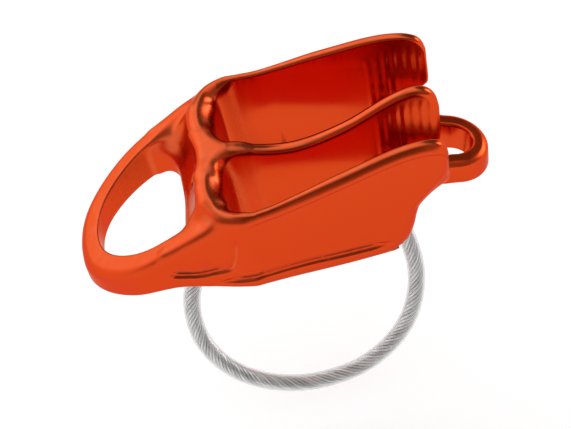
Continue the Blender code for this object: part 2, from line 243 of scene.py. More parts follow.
class NetMesher:
    """Turns a field into a closed mesh whose points lie on the field's zero surface.

    The mesh's points are moved onto the surface in PASSES passes, by no more than STEP_SHARE of
    the pitch in each. LEAST_SLOPE is the least squared slope that a move is divided by, and
    MARGIN keeps what is read inside the block.
    """

    CORNERS = [(i, j, k) for i in (0, 1) for j in (0, 1) for k in (0, 1)]
    MARGIN = 1.001
    PASSES = 3
    STEP_SHARE = 0.5
    LEAST_SLOPE = 0.05

    def __init__(self, grid: Grid, values: np.ndarray) -> None:
        """Keep the grid and its values."""
        self.grid = grid
        self.values = values

    def sample(self, points: np.ndarray) -> np.ndarray:
        """Read the field between its samples.

        Args:
            points: free points, in metres.

        Returns:
            The field's value at each point.
        """
        place = (points - np.array(self.grid.low)) / self.grid.pitch
        place = np.clip(place, 0, np.array(self.values.shape) - self.MARGIN)
        base = place.astype(np.int32)
        part = place - base
        total = np.zeros(len(points))
        for corner in self.CORNERS:
            weight = np.ones(len(points))
            for axis in range(3):
                weight *= part[:, axis] if corner[axis] else 1 - part[:, axis]
            i, j, k = (base[:, axis] + corner[axis] for axis in range(3))
            total += weight * self.values[i, j, k]
        return total

    def slope(self, points: np.ndarray, step: float) -> np.ndarray:
        """Read the field's gradient.

        Args:
            points: free points, in metres.
            step: how far to each side of them the field is read, in metres.

        Returns:
            The gradient at each point.
        """
        parts = []
        for axis in range(3):
            shift = np.zeros(3)
            shift[axis] = step
            parts.append((self.sample(points + shift) - self.sample(points - shift)) / (2 * step))
        return np.stack(parts, axis=1)

    def build(self) -> tuple[np.ndarray, np.ndarray]:
        """Make the mesh.

        Returns:
            Its points, in metres, and its four-sided faces.
        """
        inside = self.values < 0
        count = np.zeros(tuple(size - 1 for size in inside.shape), np.int8)
        for i, j, k in self.CORNERS:
            count += inside[i:i + count.shape[0], j:j + count.shape[1], k:k + count.shape[2]]
        cells = np.argwhere((count > 0) & (count < 8))
        number = np.full(count.shape, -1, np.int32)
        number[tuple(cells.T)] = np.arange(len(cells))
        points = self.cell_points(cells)
        faces = self.faces(inside, number)
        step = self.grid.pitch * self.STEP_SHARE
        for _ in range(self.PASSES):
            slope = self.slope(points, step)
            size = np.maximum((slope ** 2).sum(axis=1), self.LEAST_SLOPE)
            move = slope * (self.sample(points) / size)[:, None]
            length = np.linalg.norm(move, axis=1)[:, None]
            points -= move * np.minimum(1, step / np.maximum(length, TINY))
        return points, faces

    def cell_points(self, cells: np.ndarray) -> np.ndarray:
        """Find the middle of the places where the surface cuts each cell's edges.

        Args:
            cells: the cells that the surface passes through.

        Returns:
            One point for each cell, in metres.
        """
        total = np.zeros((len(cells), 3))
        hits = np.zeros(len(cells))
        base = cells.T
        for first in self.CORNERS:
            for axis in range(3):
                if first[axis]:
                    continue
                last = list(first)
                last[axis] = 1
                a = self.values[base[0] + first[0], base[1] + first[1], base[2] + first[2]]
                b = self.values[base[0] + last[0], base[1] + last[1], base[2] + last[2]]
                cut = (a < 0) != (b < 0)
                t = np.where(cut, a / np.where(a == b, 1, a - b), 0)
                for other in range(3):
                    place = first[other] + (t if other == axis else 0)
                    total[:, other] += np.where(cut, place, 0)
                hits += cut
        return (cells + total / hits[:, None]) * self.grid.pitch + np.array(self.grid.low)

    @staticmethod
    def faces(inside: np.ndarray, number: np.ndarray) -> np.ndarray:
        """Make one face round every grid edge that the surface cuts, pointing outwards.

        Args:
            inside: whether each sample lies inside.
            number: the number of each cell's point.

        Returns:
            The faces, four point numbers each.
        """
        found = []
        for axis in range(3):
            near = [slice(1, -1)] * 3
            near[axis] = slice(0, -1)
            far = list(near)
            far[axis] = slice(1, None)
            a, b = inside[tuple(near)], inside[tuple(far)]
            one, two = [other for other in range(3) if other != axis]
            for flipped in (False, True):
                start = np.argwhere(a & ~b if not flipped else b & ~a)
                start[:, one] += 1
                start[:, two] += 1
                ring = []
                for back_one, back_two in ((0, 0), (1, 0), (1, 1), (0, 1)):
                    cell = start.copy()
                    cell[:, one] -= back_one
                    cell[:, two] -= back_two
                    ring.append(number[tuple(cell.T)])
                if flipped == (axis != 1):
                    ring.reverse()
                found.append(np.stack(ring, axis=1))
        return np.concatenate(found)


def linked(name: str, data: bpy.types.ID) -> bpy.types.Object:
    """Put a mesh, curve, light or camera in the scene.

    Args:
        name: the object's name.
        data: what the object holds.

    Returns:
        The object.
    """
    piece = bpy.data.objects.new(name, data)
    bpy.context.scene.collection.objects.link(piece)
    return piece


def evaluated_mesh(piece: bpy.types.Object) -> bpy.types.Mesh:
    """Copy an object's shape with its modifiers applied.

    Args:
        piece: the object.

    Returns:
        A plain mesh of its own.
    """
    bpy.context.view_layer.update()
    depsgraph = bpy.context.evaluated_depsgraph_get()
    return bpy.data.meshes.new_from_object(piece.evaluated_get(depsgraph))


def mesh_object(name: str, points: np.ndarray, faces: np.ndarray) -> bpy.types.Object:
    """Put points and four-sided faces in the scene as a smooth mesh.

    Args:
        name: the object's name.
        points: the points, in metres.
        faces: the faces, four point numbers each.

    Returns:
        The object.
    """
    mesh = bpy.data.meshes.new(name)
    mesh.vertices.add(len(points))
    mesh.vertices.foreach_set("co", points.astype(np.float32).ravel())
    mesh.loops.add(faces.size)
    mesh.loops.foreach_set("vertex_index", faces.astype(np.int32).ravel())
    mesh.polygons.add(len(faces))
    mesh.polygons.foreach_set("loop_start", np.arange(0, faces.size, 4, dtype=np.int32))
    mesh.update(calc_edges=True)
    mesh.validate()
    mesh.shade_smooth()
    return linked(name, mesh)


def bake(piece: bpy.types.Object) -> None:
    """Apply a piece's modifiers to its mesh.

    Args:
        piece: the piece.
    """
    mesh = evaluated_mesh(piece)
    piece.modifiers.clear()
    old, piece.data = piece.data, mesh
    bpy.data.meshes.remove(old)


# Finishes


class Calc(Enum):
    """What a Math node works out."""

    ADD = "ADD"
    MULTIPLY = "MULTIPLY"
    MULTIPLY_ADD = "MULTIPLY_ADD"
    DIVIDE = "DIVIDE"
    MAXIMUM = "MAXIMUM"


class Tree:
    """Short way to add and join the nodes of a shader or geometry tree."""

    def __init__(self, tree: bpy.types.NodeTree) -> None:
        """Keep the tree."""
        self.tree = tree

    def add(self, kind: str, **values: object) -> bpy.types.Node:
        """Add a node.

        Args:
            kind: the node's type.
            values: the properties to set on it.

        Returns:
            The node.
        """
        node = self.tree.nodes.new(kind)
        for name, value in values.items():
            setattr(node, name, value)
        return node

    def feed(self, target: bpy.types.NodeSocket, value: Fed) -> None:
        """Join a socket to another one, or set its plain value.

        Args:
            target: the input to feed.
            value: the output to join to it, or the value to set.
        """
        if isinstance(value, bpy.types.NodeSocket):
            self.tree.links.new(value, target)
        else:
            target.default_value = value

    def calc(self, kind: Calc, *values: Fed) -> bpy.types.NodeSocket:
        """Add a Math node.

        Args:
            kind: what it works out.
            values: its inputs in order.

        Returns:
            Its result.
        """
        node = self.add("ShaderNodeMath", operation=kind.value)
        for target, value in zip(node.inputs, values):
            self.feed(target, value)
        return node.outputs[0]

    def spread(self, value: Fed, to: Span, over: Span = (0.0, 1.0),
               smooth: bool = False) -> bpy.types.NodeSocket:
        """Add a Map Range node.

        Args:
            value: the value to map.
            to: what the two ends of its range turn into.
            over: the range that is mapped.
            smooth: whether the ends are eased.

        Returns:
            The mapped value.
        """
        ends = "SMOOTHSTEP" if smooth else "LINEAR"
        node = self.add("ShaderNodeMapRange", interpolation_type=ends)
        self.feed(node.inputs["Value"], value)
        for label, number in zip(("From Min", "From Max", "To Min", "To Max"), (*over, *to)):
            node.inputs[label].default_value = number
        return node.outputs["Result"]

    def chain(self, kind: str, source: bpy.types.NodeSocket,
              inputs: dict[str, Fed] | None = None,
              **values: object) -> bpy.types.NodeSocket:
        """Add a node that takes one geometry and hands one on.

        Args:
            kind: the node's type.
            source: the geometry that it takes.
            inputs: what to feed its other inputs with, by their names.
            values: the properties to set on it.

        Returns:
            The geometry that it hands on.
        """
        node = self.add(kind, **values)
        self.feed(node.inputs[0], source)
        for label, value in (inputs or {}).items():
            self.feed(node.inputs[label], value)
        return node.outputs[0]

    def mix(self, share: Fed, first: Fed, second: Fed,
            colours: bool = True) -> bpy.types.NodeSocket:
        """Add a Mix node.

        Args:
            share: how much of the second value there is.
            first: the value at a share of 0.
            second: the value at a share of 1.
            colours: whether the values are colours, or else numbers.

        Returns:
            The mixed value.
        """
        node = self.add("ShaderNodeMix", data_type="RGBA" if colours else "FLOAT")
        for label, value in (("Factor", share), ("A", first), ("B", second)):
            self.feed(node.inputs[label], value)
        return node.outputs["Result"]

    def bump(self, shader: bpy.types.Node, height: bpy.types.NodeSocket, strength: float,
             depth: float) -> None:
        """Roughen a material's surface.

        Args:
            shader: the material's Principled BSDF.
            height: height value, 0 to 1.
            strength: the bump's strength.
            depth: the bump's distance, in metres.
        """
        node = self.add("ShaderNodeBump")
        node.inputs["Strength"].default_value = strength
        node.inputs["Distance"].default_value = depth
        self.feed(node.inputs["Height"], height)
        self.feed(shader.inputs["Normal"], node.outputs["Normal"])


@dataclass(frozen=True)
class Effect:
    """Base of the shader node groups that more than one material can use.

    Args:
        name: the group's name.
    """

    name: str

    def start(self, **inputs: float) -> tuple[Tree, bpy.types.Node, bpy.types.Node]:
        """Make the group's node tree with plain number inputs, a Place input and a Value output.

        Args:
            inputs: the number inputs and their usual values; an underline stands for a space.

        Returns:
            The tree, its input node and its output node.
        """
        group = bpy.data.node_groups.new(self.name, "ShaderNodeTree")
        for label, value in inputs.items():
            socket = group.interface.new_socket(label.replace("_", " "), in_out="INPUT",
                                                socket_type="NodeSocketFloat")
            socket.default_value = value
        group.interface.new_socket("Place", in_out="INPUT", socket_type="NodeSocketVector")
        group.interface.new_socket("Value", in_out="OUTPUT", socket_type="NodeSocketFloat")
        tree = Tree(group)
        return tree, tree.add("NodeGroupInput"), tree.add("NodeGroupOutput")

    @staticmethod
    def noise(tree: Tree, start: bpy.types.Node, scale: str, detail: float) -> bpy.types.NodeSocket:
        """Add a noise that reads the group's place.

        Args:
            tree: the group's tree.
            start: its input node.
            scale: the input that sets the noise's scale.
            detail: the noise's detail.

        Returns:
            The noise's value.
        """
        node = tree.add("ShaderNodeTexNoise")
        node.inputs["Detail"].default_value = detail
        tree.feed(node.inputs["Vector"], start.outputs["Place"])
        tree.feed(node.inputs["Scale"], start.outputs[scale])
        return node.outputs["Fac"]


@dataclass(frozen=True)
class GrainEffect(Effect):
    """Fine grain: a value round 0.5 that changes over the surface at two scales."""

    name: str = "surface_grain"
    scale: float = 3000.0
    coarse_scale: float = 250.0
    fine_detail: float = 2.0
    coarse_detail: float = 3.0
    coarse_share: float = 0.4

    def group(self) -> bpy.types.NodeTree:
        """Build the node group.

        Returns:
            The group.
        """
        tree, start, end = self.start(Scale=self.scale, Coarse_Scale=self.coarse_scale, Amount=1.0)
        fine = self.noise(tree, start, "Scale", self.fine_detail)
        coarse = self.noise(tree, start, "Coarse Scale", self.coarse_detail)
        share = tree.calc(Calc.MULTIPLY, coarse, self.coarse_share)
        both = tree.calc(Calc.MULTIPLY_ADD, fine, 1 - self.coarse_share, share)
        tree.feed(end.inputs["Value"], tree.calc(Calc.MULTIPLY, both, start.outputs["Amount"]))
        return tree.tree


@dataclass(frozen=True)
class WearEffect(Effect):
    """Rubbed places: a share from 0 to 1, patchy, and only where the edge value is high."""

    name: str = "edge_wear"
    scale: float = 420.0
    detail: float = 4.0
    patch_range: Span = (0.48, 0.66)

    def group(self) -> bpy.types.NodeTree:
        """Build the node group.

        Returns:
            The group.
        """
        tree, start, end = self.start(Edge=0.0, Scale=self.scale, Amount=1.0)
        patches = self.noise(tree, start, "Scale", self.detail)
        sharp = tree.spread(patches, (0.0, 1.0), self.patch_range)
        on_edge = tree.calc(Calc.MULTIPLY, sharp, start.outputs["Edge"])
        tree.feed(end.inputs["Value"], tree.calc(Calc.MULTIPLY, on_edge, start.outputs["Amount"]))
        return tree.tree


@dataclass(frozen=True)
class Effects:
    """The shader node groups, built once and placed in each material with its own values.

    Args:
        grain: the group of GrainEffect.
        wear: the group of WearEffect.
    """

    grain: bpy.types.NodeTree
    wear: bpy.types.NodeTree


def new_material(name: str) -> tuple[bpy.types.Material, Tree, bpy.types.Node]:
    """Start a node material.

    Args:
        name: the material's name.

    Returns:
        The material, its tree and its Principled BSDF.
    """
    material = bpy.data.materials.new(name)
    material.use_nodes = True
    return material, Tree(material.node_tree), material.node_tree.nodes["Principled BSDF"]


def placed(tree: Tree, group: bpy.types.NodeTree, **inputs: Fed) -> bpy.types.NodeSocket:
    """Place an effect's group in a material, on the piece's own Object coordinates.

    Args:
        tree: the material's tree.
        group: the effect's group.
        inputs: what to feed its inputs with.

    Returns:
        The effect's value.
    """
    node = tree.add("ShaderNodeGroup", node_tree=group)
    tree.feed(node.inputs["Place"], tree.add("ShaderNodeTexCoord").outputs["Object"])
    for label, value in inputs.items():
        tree.feed(node.inputs[label], value)
    return node.outputs["Value"]


@dataclass(frozen=True)
class AnodisedFinish:
    """Orange anodised aluminium: blasted outside, bright where it was machined inside."""

    colour: Colour = (0.68, 0.057, 0.008)
    # paler orange painted on outward rims and upward faces: a painted highlight
    painted_highlight_colour: Colour = (0.68, 0.096, 0.026)
    worn_colour: Colour = (0.70, 0.17, 0.075)
    grazing_colour: Colour = (0.82, 0.42, 0.30)
    satin_roughness: float = 0.29
    bright_roughness: float = 0.13
    grain_roughness: float = 0.08
    coat_weight: float = 0.12
    coat_roughness: float = 0.22
    grain_strength: float = 0.10
    grain_depth: float = 0.012 * MM
    wear: float = 0.22

    def material(self, effects: Effects) -> bpy.types.Material:
        """Build the material.

        Args:
            effects: the shared node groups.

        Returns:
            The material, which reads the attributes "edge" and "bright".
        """
        material, tree, shader = new_material("orange_anodised_aluminium")
        shader.inputs["Metallic"].default_value = 1.0
        shader.inputs["Specular Tint"].default_value = (*self.grazing_colour, 1.0)
        shader.inputs["Coat Weight"].default_value = self.coat_weight
        shader.inputs["Coat Roughness"].default_value = self.coat_roughness
        grain = placed(tree, effects.grain)
        edge = tree.add("ShaderNodeAttribute", attribute_name="edge").outputs["Fac"]
        bright = tree.add("ShaderNodeAttribute", attribute_name="bright").outputs["Fac"]
        rubbed = placed(tree, effects.wear, Edge=edge, Amount=self.wear)
        # mixes in the painted highlight colour where "edge" is high, then the rubbed wear on top
        colour = tree.mix(edge, (*self.colour, 1.0), (*self.painted_highlight_colour, 1.0))
        tree.feed(shader.inputs["Base Color"], tree.mix(rubbed, colour, (*self.worn_colour, 1.0)))
        half = self.grain_roughness / 2
        even = tree.spread(bright, (self.satin_roughness - half, self.bright_roughness - half))
        rough = tree.calc(Calc.MULTIPLY_ADD, grain, self.grain_roughness, even)
        tree.feed(shader.inputs["Roughness"], rough)
        tree.bump(shader, grain, self.grain_strength, self.grain_depth)
        return material


@dataclass(frozen=True)
class SteelFinish:
    """Bare steel: a grey and a roughness that both follow the grain.

    Args:
        name: the material's name.
        colour: the steel's middle grey.
        tones: shares of that grey in the darkest and the palest grain.
        roughness: lowest and highest roughness.
        grain_strength: strength of the bump.
        grain_scale: scale of the fine grain.
        tone_share: how far the attribute "tone" of each wire moves the grey.
    """

    name: str
    colour: Colour
    tones: Span
    roughness: Span
    grain_strength: float
    grain_scale: float = 3000.0
    tone_share: float = 0.0
    grain_depth: float = 0.01 * MM

    def material(self, effects: Effects) -> bpy.types.Material:
        """Build the material.

        Args:
            effects: the shared node groups.

        Returns:
            The material.
        """
        material, tree, shader = new_material(self.name)
        shader.inputs["Metallic"].default_value = 1.0
        grain = placed(tree, effects.grain, Scale=self.grain_scale)
        share = grain
        if self.tone_share:
            tone = tree.add("ShaderNodeAttribute", attribute_name="tone").outputs["Fac"]
            share = tree.calc(Calc.MULTIPLY_ADD, tone, self.tone_share, grain)
        dark, pale = ((*(value * part for value in self.colour), 1.0) for part in self.tones)
        tree.feed(shader.inputs["Base Color"], tree.mix(share, dark, pale))
        tree.feed(shader.inputs["Roughness"], tree.spread(grain, self.roughness))
        tree.bump(shader, grain, self.grain_strength, self.grain_depth)
        return material


WIRE_STEEL = SteelFinish(
    "drawn_steel_wire", colour=(0.80, 0.80, 0.79), tones=(0.45, 1.15), roughness=(0.24, 0.40),
    grain_strength=0.25, grain_scale=1500.0, tone_share=0.75)
FERRULE_STEEL = SteelFinish(
    "plated_ferrule_steel", colour=(0.56, 0.55, 0.52), tones=(0.7, 1.3), roughness=(0.32, 0.52),
    grain_strength=0.3)


@dataclass(frozen=True)
class SleeveFinish:
    """Clear soft plastic, milky where it is seen edge on."""

    colour: Colour = (0.90, 0.91, 0.90)
    refraction: float = 1.45
    roughness: Span = (0.12, 0.32)
    grain_strength: float = 0.15
    grain_depth: float = 0.01 * MM
    facing_blend: float = 0.35
    alpha: Span = (0.06, 0.55)

    def material(self, effects: Effects) -> bpy.types.Material:
        """Build the material.

        Args:
            effects: the shared node groups.

        Returns:
            The material.
        """
        material, tree, shader = new_material("clear_sleeve_plastic")
        shader.inputs["Base Color"].default_value = (*self.colour, 1.0)
        shader.inputs["IOR"].default_value = self.refraction
        grain = placed(tree, effects.grain)
        tree.feed(shader.inputs["Roughness"], tree.spread(grain, self.roughness))
        tree.bump(shader, grain, self.grain_strength, self.grain_depth)
        facing = tree.add("ShaderNodeLayerWeight")
        facing.inputs["Blend"].default_value = self.facing_blend
        tree.feed(shader.inputs["Alpha"], tree.spread(facing.outputs["Facing"], self.alpha))
        return material


# Sub-assemblies


class Side(Enum):
    """The two rope slots, each with the sign of its Y."""

    FAR = 1
    NEAR = -1


@dataclass(frozen=True)
class NormalBlur:
    """A box in which the normals are averaged widely, so that tight bends mirror softly.

    Args:
        start: its lowest X, in metres.
        stop: its highest X, in metres.
        low: its lowest Z, in metres.
        shift: how far from a point its surroundings are read, in metres.
        step: the step of the slope there, in metres.
        agreement: lengths of the mean normal over which it takes the point's own normal's place.
    """

    start: float = 6.0 * MM
    stop: float = 20.0 * MM
    low: float = 2.0 * MM
    shift: float = 0.8 * MM
    step: float = 0.50 * MM
    agreement: Span = (0.45, 0.75)

    def soften(self, mesher: NetMesher, points: np.ndarray, normals: np.ndarray) -> None:
        """Average the normals in the box, where those around them agree.

        Args:
            mesher: what holds the field.
            points: places on its surface.
            normals: the normal at each, changed in place.
        """
        x, z = points[:, 0], points[:, 2]
        within = (x > self.start) & (x < self.stop) & (z > self.low)
        shifts = np.concatenate([np.eye(3), -np.eye(3)]) * self.shift
        broad = np.mean([unit(mesher.slope(points[within] + shift, self.step))
                         for shift in shifts], axis=0)
        share = ease(np.linalg.norm(broad, axis=1)[:, None], *self.agreement)
        normals[within] = normals[within] * (1 - share) + unit(broad) * share


@dataclass
class Forging:
    """The one-piece body: slot walls, web, attachment eye, release eye and cable bosses.

    Plain sizes are in metres and the tables of points in millimetres, in the part's own frame.
    X runs from the attachment eye to the release eye, Y to the far side and Z upwards. A "reach"
    is how far two forms flow into each other.
    """

    # the slots' walls
    wall: float = 2.7 * MM
    web_wall: float = 2.7 * MM
    lobe_wall: float = 2.9 * MM
    lobe_side_wall: float = 2.0 * MM
    lobe_lip: float = 2.2 * MM
    lobe_rounding: float = 4.2 * MM
    lobe_draft: float = 2.2 * MM
    lobe_start: float = 262.0
    lobe_steps: int = 150
    lobe_thinning: Span = (0.35, 0.95)
    lobe_joined: float = 0.42
    lip_middle: float = 0.46
    lip_spread: float = 0.8
    lip_power: float = 1.5
    slot_draft: float = 1.2 * MM
    slot_radius: float = 7.9 * MM
    slot_start: float = 15.7 * MM
    slot_end_blend: Span = (0.5 * MM, 6.5 * MM)
    taper: float = math.radians(6.8)
    base_z: float = -6.8 * MM
    rim_z: float = 18.7 * MM
    outer_rounding: float = 2.2 * MM
    inner_rounding: float = 0.7 * MM
    full_wall_x: float = 44.0 * MM
    plate_gap: float = 1.0 * MM
    plate_steps: int = 20
    wall_end: float = 66.0 * MM
    face_blend: float = 1.0 * MM
    walls_reach: float = 0.6 * MM

    # the web and its junction with the lobes
    web_root_share: float = 0.42
    web_draft: float = 0.5 * MM
    web_rounding: float = 1.3 * MM
    web_reach: float = 1.6 * MM
    junction_plan: Line = field(default_factory=lambda: [
        (14.2, 5.2), (14.2, -5.2), (19.2, -2.2), (19.2, 2.2)])
    junction_plan_reach: float = 3.0 * MM
    junction_fade: float = 0.30
    junction_fade_x: float = 15.5 * MM
    junction_end: float = 21.0 * MM
    junction_end_rounding: float = 1.0 * MM
    junction_half: float = 5.5 * MM
    junction_rounding: float = 1.6 * MM
    junction_reach: float = 1.4 * MM

    # the cable's bosses and bores, and the pin hole
    boss_radius: float = 4.2 * MM
    boss_rounding: float = 1.3 * MM
    boss_lift: float = 0.7 * MM
    boss_reach: float = 1.6 * MM
    anchor_boss_radius: float = 3.3 * MM
    anchor_boss_top: float = 2.6 * MM
    anchor_boss_rounding: float = 1.0 * MM
    anchor_boss_lift: float = 0.1 * MM
    anchor_boss_reach: float = 0.8 * MM
    anchor_x: float = 12.8 * MM
    tail_x: float = 52.2 * MM
    bore_radius: float = 2.25 * MM
    bore_depth: float = 10.5 * MM
    bore_reach: float = 0.5 * MM
    mouth_flare: float = 1.2 * MM
    mouth_depth: float = 1.8 * MM
    mouth_widest: float = 2.0
    pin_radius: float = 0.7 * MM
    pin_overlap: float = 1.0 * MM
    pin_reach: float = 0.3 * MM

    # the release eye
    release_width: float = 7.7 * MM
    release_stretch: float = 1.12
    release_band: float = 3.2 * MM
    release_tip: float = 74.2 * MM
    release_top: float = 5.7 * MM
    release_slope: float = 0.29
    release_height: float = 7.2 * MM
    release_draft: float = 0.17
    release_spread: float = 1.6 * MM
    release_steps: int = 90
    release_blend: float = 0.8 * MM
    release_outer_rounding: float = 1.6 * MM
    release_inner_rounding: float = 0.5 * MM
    release_reach: float = 2.0 * MM

    # the low wall across the open end
    end_wall_x: float = 52.5 * MM
    end_wall: float = 3.8 * MM
    end_wall_top: float = 6.4 * MM
    end_wall_lift: float = 0.3 * MM
    end_wall_corner_z: float = -3.2 * MM
    end_wall_rounding: float = 0.8 * MM
    end_wall_reach: float = 1.6 * MM

    # the ledge between the attachment eye's hole and the lobes
    ledge_x: float = 9.2 * MM
    ledge_corner: float = 5.2 * MM
    ledge_corner_steps: int = 9
    ledge_side: float = 13.2 * MM
    ledge_half: float = 15.5 * MM
    ledge_end: float = 17.0 * MM
    ledge_top: float = 4.4 * MM
    ledge_rise: float = 1.55
    ledge_flat: float = 0.9 * MM
    ledge_ramp: float = 5.0 * MM
    ledge_steepness: float = 0.7
    ledge_rounding: float = 1.4 * MM
    ledge_reach: float = 1.0 * MM
    ledge_middle_reach: float = 5.0 * MM

    # the attachment eye
    eye_outer_rounding: float = 1.9 * MM
    eye_inner_rounding: float = 0.6 * MM
    eye_softer_rounding: float = 2.2 * MM
    eye_near_softness: float = 0.3
    eye_blend: float = 1.2 * MM
    eye_soft_from: Span = (1.0 * MM, 11.0 * MM)
    eye_far_from: Span = (-2.0 * MM, 2.0 * MM)
    eye_reach: float = 2.4 * MM
    scoop_reach: float = 3.2 * MM
    scoop_from: Span = (2.0 * MM, 11.0 * MM)
    scoop_half: Span = (12.0 * MM, 15.0 * MM)
    lean_from: Span = (-6.0 * MM, -2.0 * MM)
    lean_room: float = 20.0 * MM

    # the marks pressed into the outer faces
    rim_line_depth: float = 0.42 * MM
    rim_line_drop: float = 2.35 * MM
    rim_line_edge: Span = (-0.22 * MM, 0.25 * MM)
    rim_line_fade: float = 4.0 * MM
    rim_line_from: Span = (20.0 * MM, 27.0 * MM)
    groove_width: float = 0.42 * MM
    pad_groove_depth: float = 0.70 * MM
    pad_groove_end: Span = (-0.5 * MM, 1.2 * MM)
    pad_groove_fade: float = 4.0 * MM
    pad_second_fade: float = 2.0 * MM
    long_groove_depth: float = 0.75 * MM
    long_groove_gap: float = 0.62 * MM
    long_groove_start: float = 7.0 * MM
    long_groove_stop: float = 6.0 * MM
    mark_skin: Span = (0.8 * MM, 1.3 * MM)
    mark_plate_gap: float = 1.0 * MM
    mark_pad_x: float = 16.0 * MM
    mark_pad_y: float = 12.5 * MM

    # the braking flutes inside the open end
    flute_start: float = 51.0 * MM
    flute_pitch: float = 1.8 * MM
    flute_count: int = 7
    flute_height: float = 0.17 * MM
    flute_unevenness: float = 0.25
    flute_beat: float = 2.1
    flute_fade: Span = (1.2 * MM, 5.0 * MM)

    # the mesh and what its finish reads
    pitch: float = 0.26 * MM
    room_low: Point = (-17.5 * MM, -21.6 * MM, -15.6 * MM)
    room_high: Point = (76.0 * MM, 21.6 * MM, 28.8 * MM)
    line_steps: int = 6
    groove_steps: int = 4
    face_limit: int = 190000
    normal_step: float = 0.30 * MM
    lobe_blur: NormalBlur = NormalBlur()
    # where the painted highlight colour and the rim wear go: outward bends and upward faces
    edge_step: float = 0.15 * MM
    edge_look: float = 0.6 * MM
    edge_bend: Span = (0.02, 0.22)
    edge_share: float = 0.8
    upward_range: Span = (0.60, 0.90)
    upward_share: float = 0.9
    upward_end: Span = (60.0 * MM, 64.0 * MM)
    bright_root_x: float = 17.0 * MM
    bright_open_x: float = 70.0 * MM
    bright_blend: float = 0.6 * MM
    bright_from: Span = (-1.0 * MM, 5.0 * MM)
    bright_least: float = 0.05
    flute_dullness: float = 0.6
    flute_dull_from: float = 6.0 * MM

    plate_top: Line = field(default_factory=lambda: [
        (0.0, 18.6), (22, 18.6), (25, 18.8), (28.7, 19.4), (34, 21.0), (40, 23.0), (45, 24.5),
        (50.4, 26.1), (54, 26.9), (57, 27.2), (60, 27.0), (62.4, 26.0), (63.6, 24.4), (64.2, 22.2)])
    plate_bottom: Line = field(default_factory=lambda: [
        (0.0, -6.6), (48, -6.6), (50.5, -6.1), (52.9, -4.6), (54.6, -2.0), (55.8, 1.1),
        (56.6, 5.0), (57.4, 7.4), (60, 10.9), (62.6, 14.0), (63.7, 16.3), (64.2, 19.2)])
    plate_lip: Line = field(default_factory=lambda: [
        (0.0, -6.6), (48, -6.6), (50.5, -6.1), (52.9, -4.6), (54.6, -2.0), (55.8, 1.1),
        (56.6, 4.8), (57.6, 7.0), (60, 9.5), (62.5, 11.0), (64.0, 12.2), (64.3, 14.5)])
    web_top: Line = field(default_factory=lambda: [
        (10, 18.4), (18.5, 18.5), (21.4, 18.1), (25, 17.1), (29, 15.9), (32.9, 15.4),
        (36.2, 15.8), (40.2, 17.0), (45.6, 19.4), (50, 22.2), (52.7, 24.0), (56, 25.8),
        (59, 26.8), (61.3, 26.5), (63.1, 25.2), (64.1, 23.1), (64.6, 20.0)])
    web_bottom: Line = field(default_factory=lambda: [
        (10, -6.6), (48, -6.6), (51.5, -6.0), (54, -4.0), (55.6, 0.5), (56.6, 4.2),
        (59.0, 6.0), (62.4, 7.0), (64.0, 8.6), (64.5, 12.0), (64.6, 18.0)])
    eye_line: list[Point] = field(default_factory=lambda: [
        (-13.4, 0.0, 2.4), (-13.2, 2.3, 2.4), (-12.65, 4.6, 2.45), (-11.55, 6.9, 2.45),
        (-9.8, 9.1, 2.4), (-7.6, 11.0, 2.35), (-5.1, 12.6, 2.3), (-2.4, 13.85, 2.25),
        (1.0, 14.8, 2.15), (4.5, 15.2, 2.2), (8.0, 15.4, 2.3), (12.0, 15.8, 2.3),
        (16.0, 16.2, 1.9), (19.0, 16.8, 1.4), (21.5, 17.5, 1.05)])
    eye_top: Line = field(default_factory=lambda: [
        (-16.5, -7.9), (9.3, 11.5), (16, 15.8), (20, 17.4), (24, 17.8)])
    eye_bottom: Line = field(default_factory=lambda: [
        (-16.5, -14.5), (-4.0, -8.5), (3.0, -5.6), (8.0, -5.3), (13, -6.2), (16, -6.5), (24, -6.5)])
    eye_inner_bottom: Line = field(default_factory=lambda: [
        (-16.5, -14.0), (-4.0, -8.0), (3.0, -4.5), (6.5, -3.1), (10, -3.2), (13, -5.0), (16, -6.5),
        (24, -6.5)])
    pad_groove: Line = field(default_factory=lambda: [
        (19.4, 12.4), (19.0, 7.8), (18.0, 3.1), (16.9, 1.1), (15.2, 0.3), (12.9, -0.1),
        (9.5, -0.5), (5.2, 0.1), (4.2, 0.3)])
    pad_second_groove: Line = field(default_factory=lambda: [
        (16.2, 2.2), (14.8, 1.4), (12.7, 1.1), (9.5, 0.75), (6.0, 1.3), (5.0, 1.5)])
    long_groove: Line = field(default_factory=lambda: [
        (12.6, -4.1), (15.1, -3.5), (19.0, -2.6), (22.6, -2.0), (33.9, -1.3), (43.9, -1.5),
        (51.8, -1.9)])

    def __post_init__(self) -> None:
        """Work out the slots' centres and the sample positions."""
        self.slot_x = self.slot_start + self.slot_radius
        self.slot_y = self.web_wall / 2 + self.slot_radius
        self.grid = Grid(self.room_low, self.room_high, self.pitch)
        self.xs, self.ys, self.zs = (self.grid.axis(index) for index in range(3))

    # Lines and outlines

    @staticmethod
    def metres(line: Line) -> Line:
        """A line in millimetres turned into metres."""
        return [(x * MM, y * MM) for x, y in line]

    def closed(self, top: Line, bottom: Line) -> Line:
        """Make a closed outline.

        Args:
            top: its upper line, in millimetres.
            bottom: its lower line, in millimetres.

        Returns:
            The smooth outline, in metres.
        """
        steps = self.line_steps
        return self.metres(smooth_line(top, steps) + smooth_line(bottom, steps)[::-1])

    def heights(self, line: Line) -> np.ndarray:
        """Read a line's height at every sample along X.

        Args:
            line: the line, in millimetres.

        Returns:
            One height for each sample, as a column.
        """
        return np.interp(self.xs, *zip(*self.metres(line)))[:, None]

    def outline(self, top: Line, bottom: Line) -> np.ndarray:
        """Field of a form seen from the side, between an upper and a lower line."""
        return outline_field(self.xs, self.zs, self.closed(top, bottom))

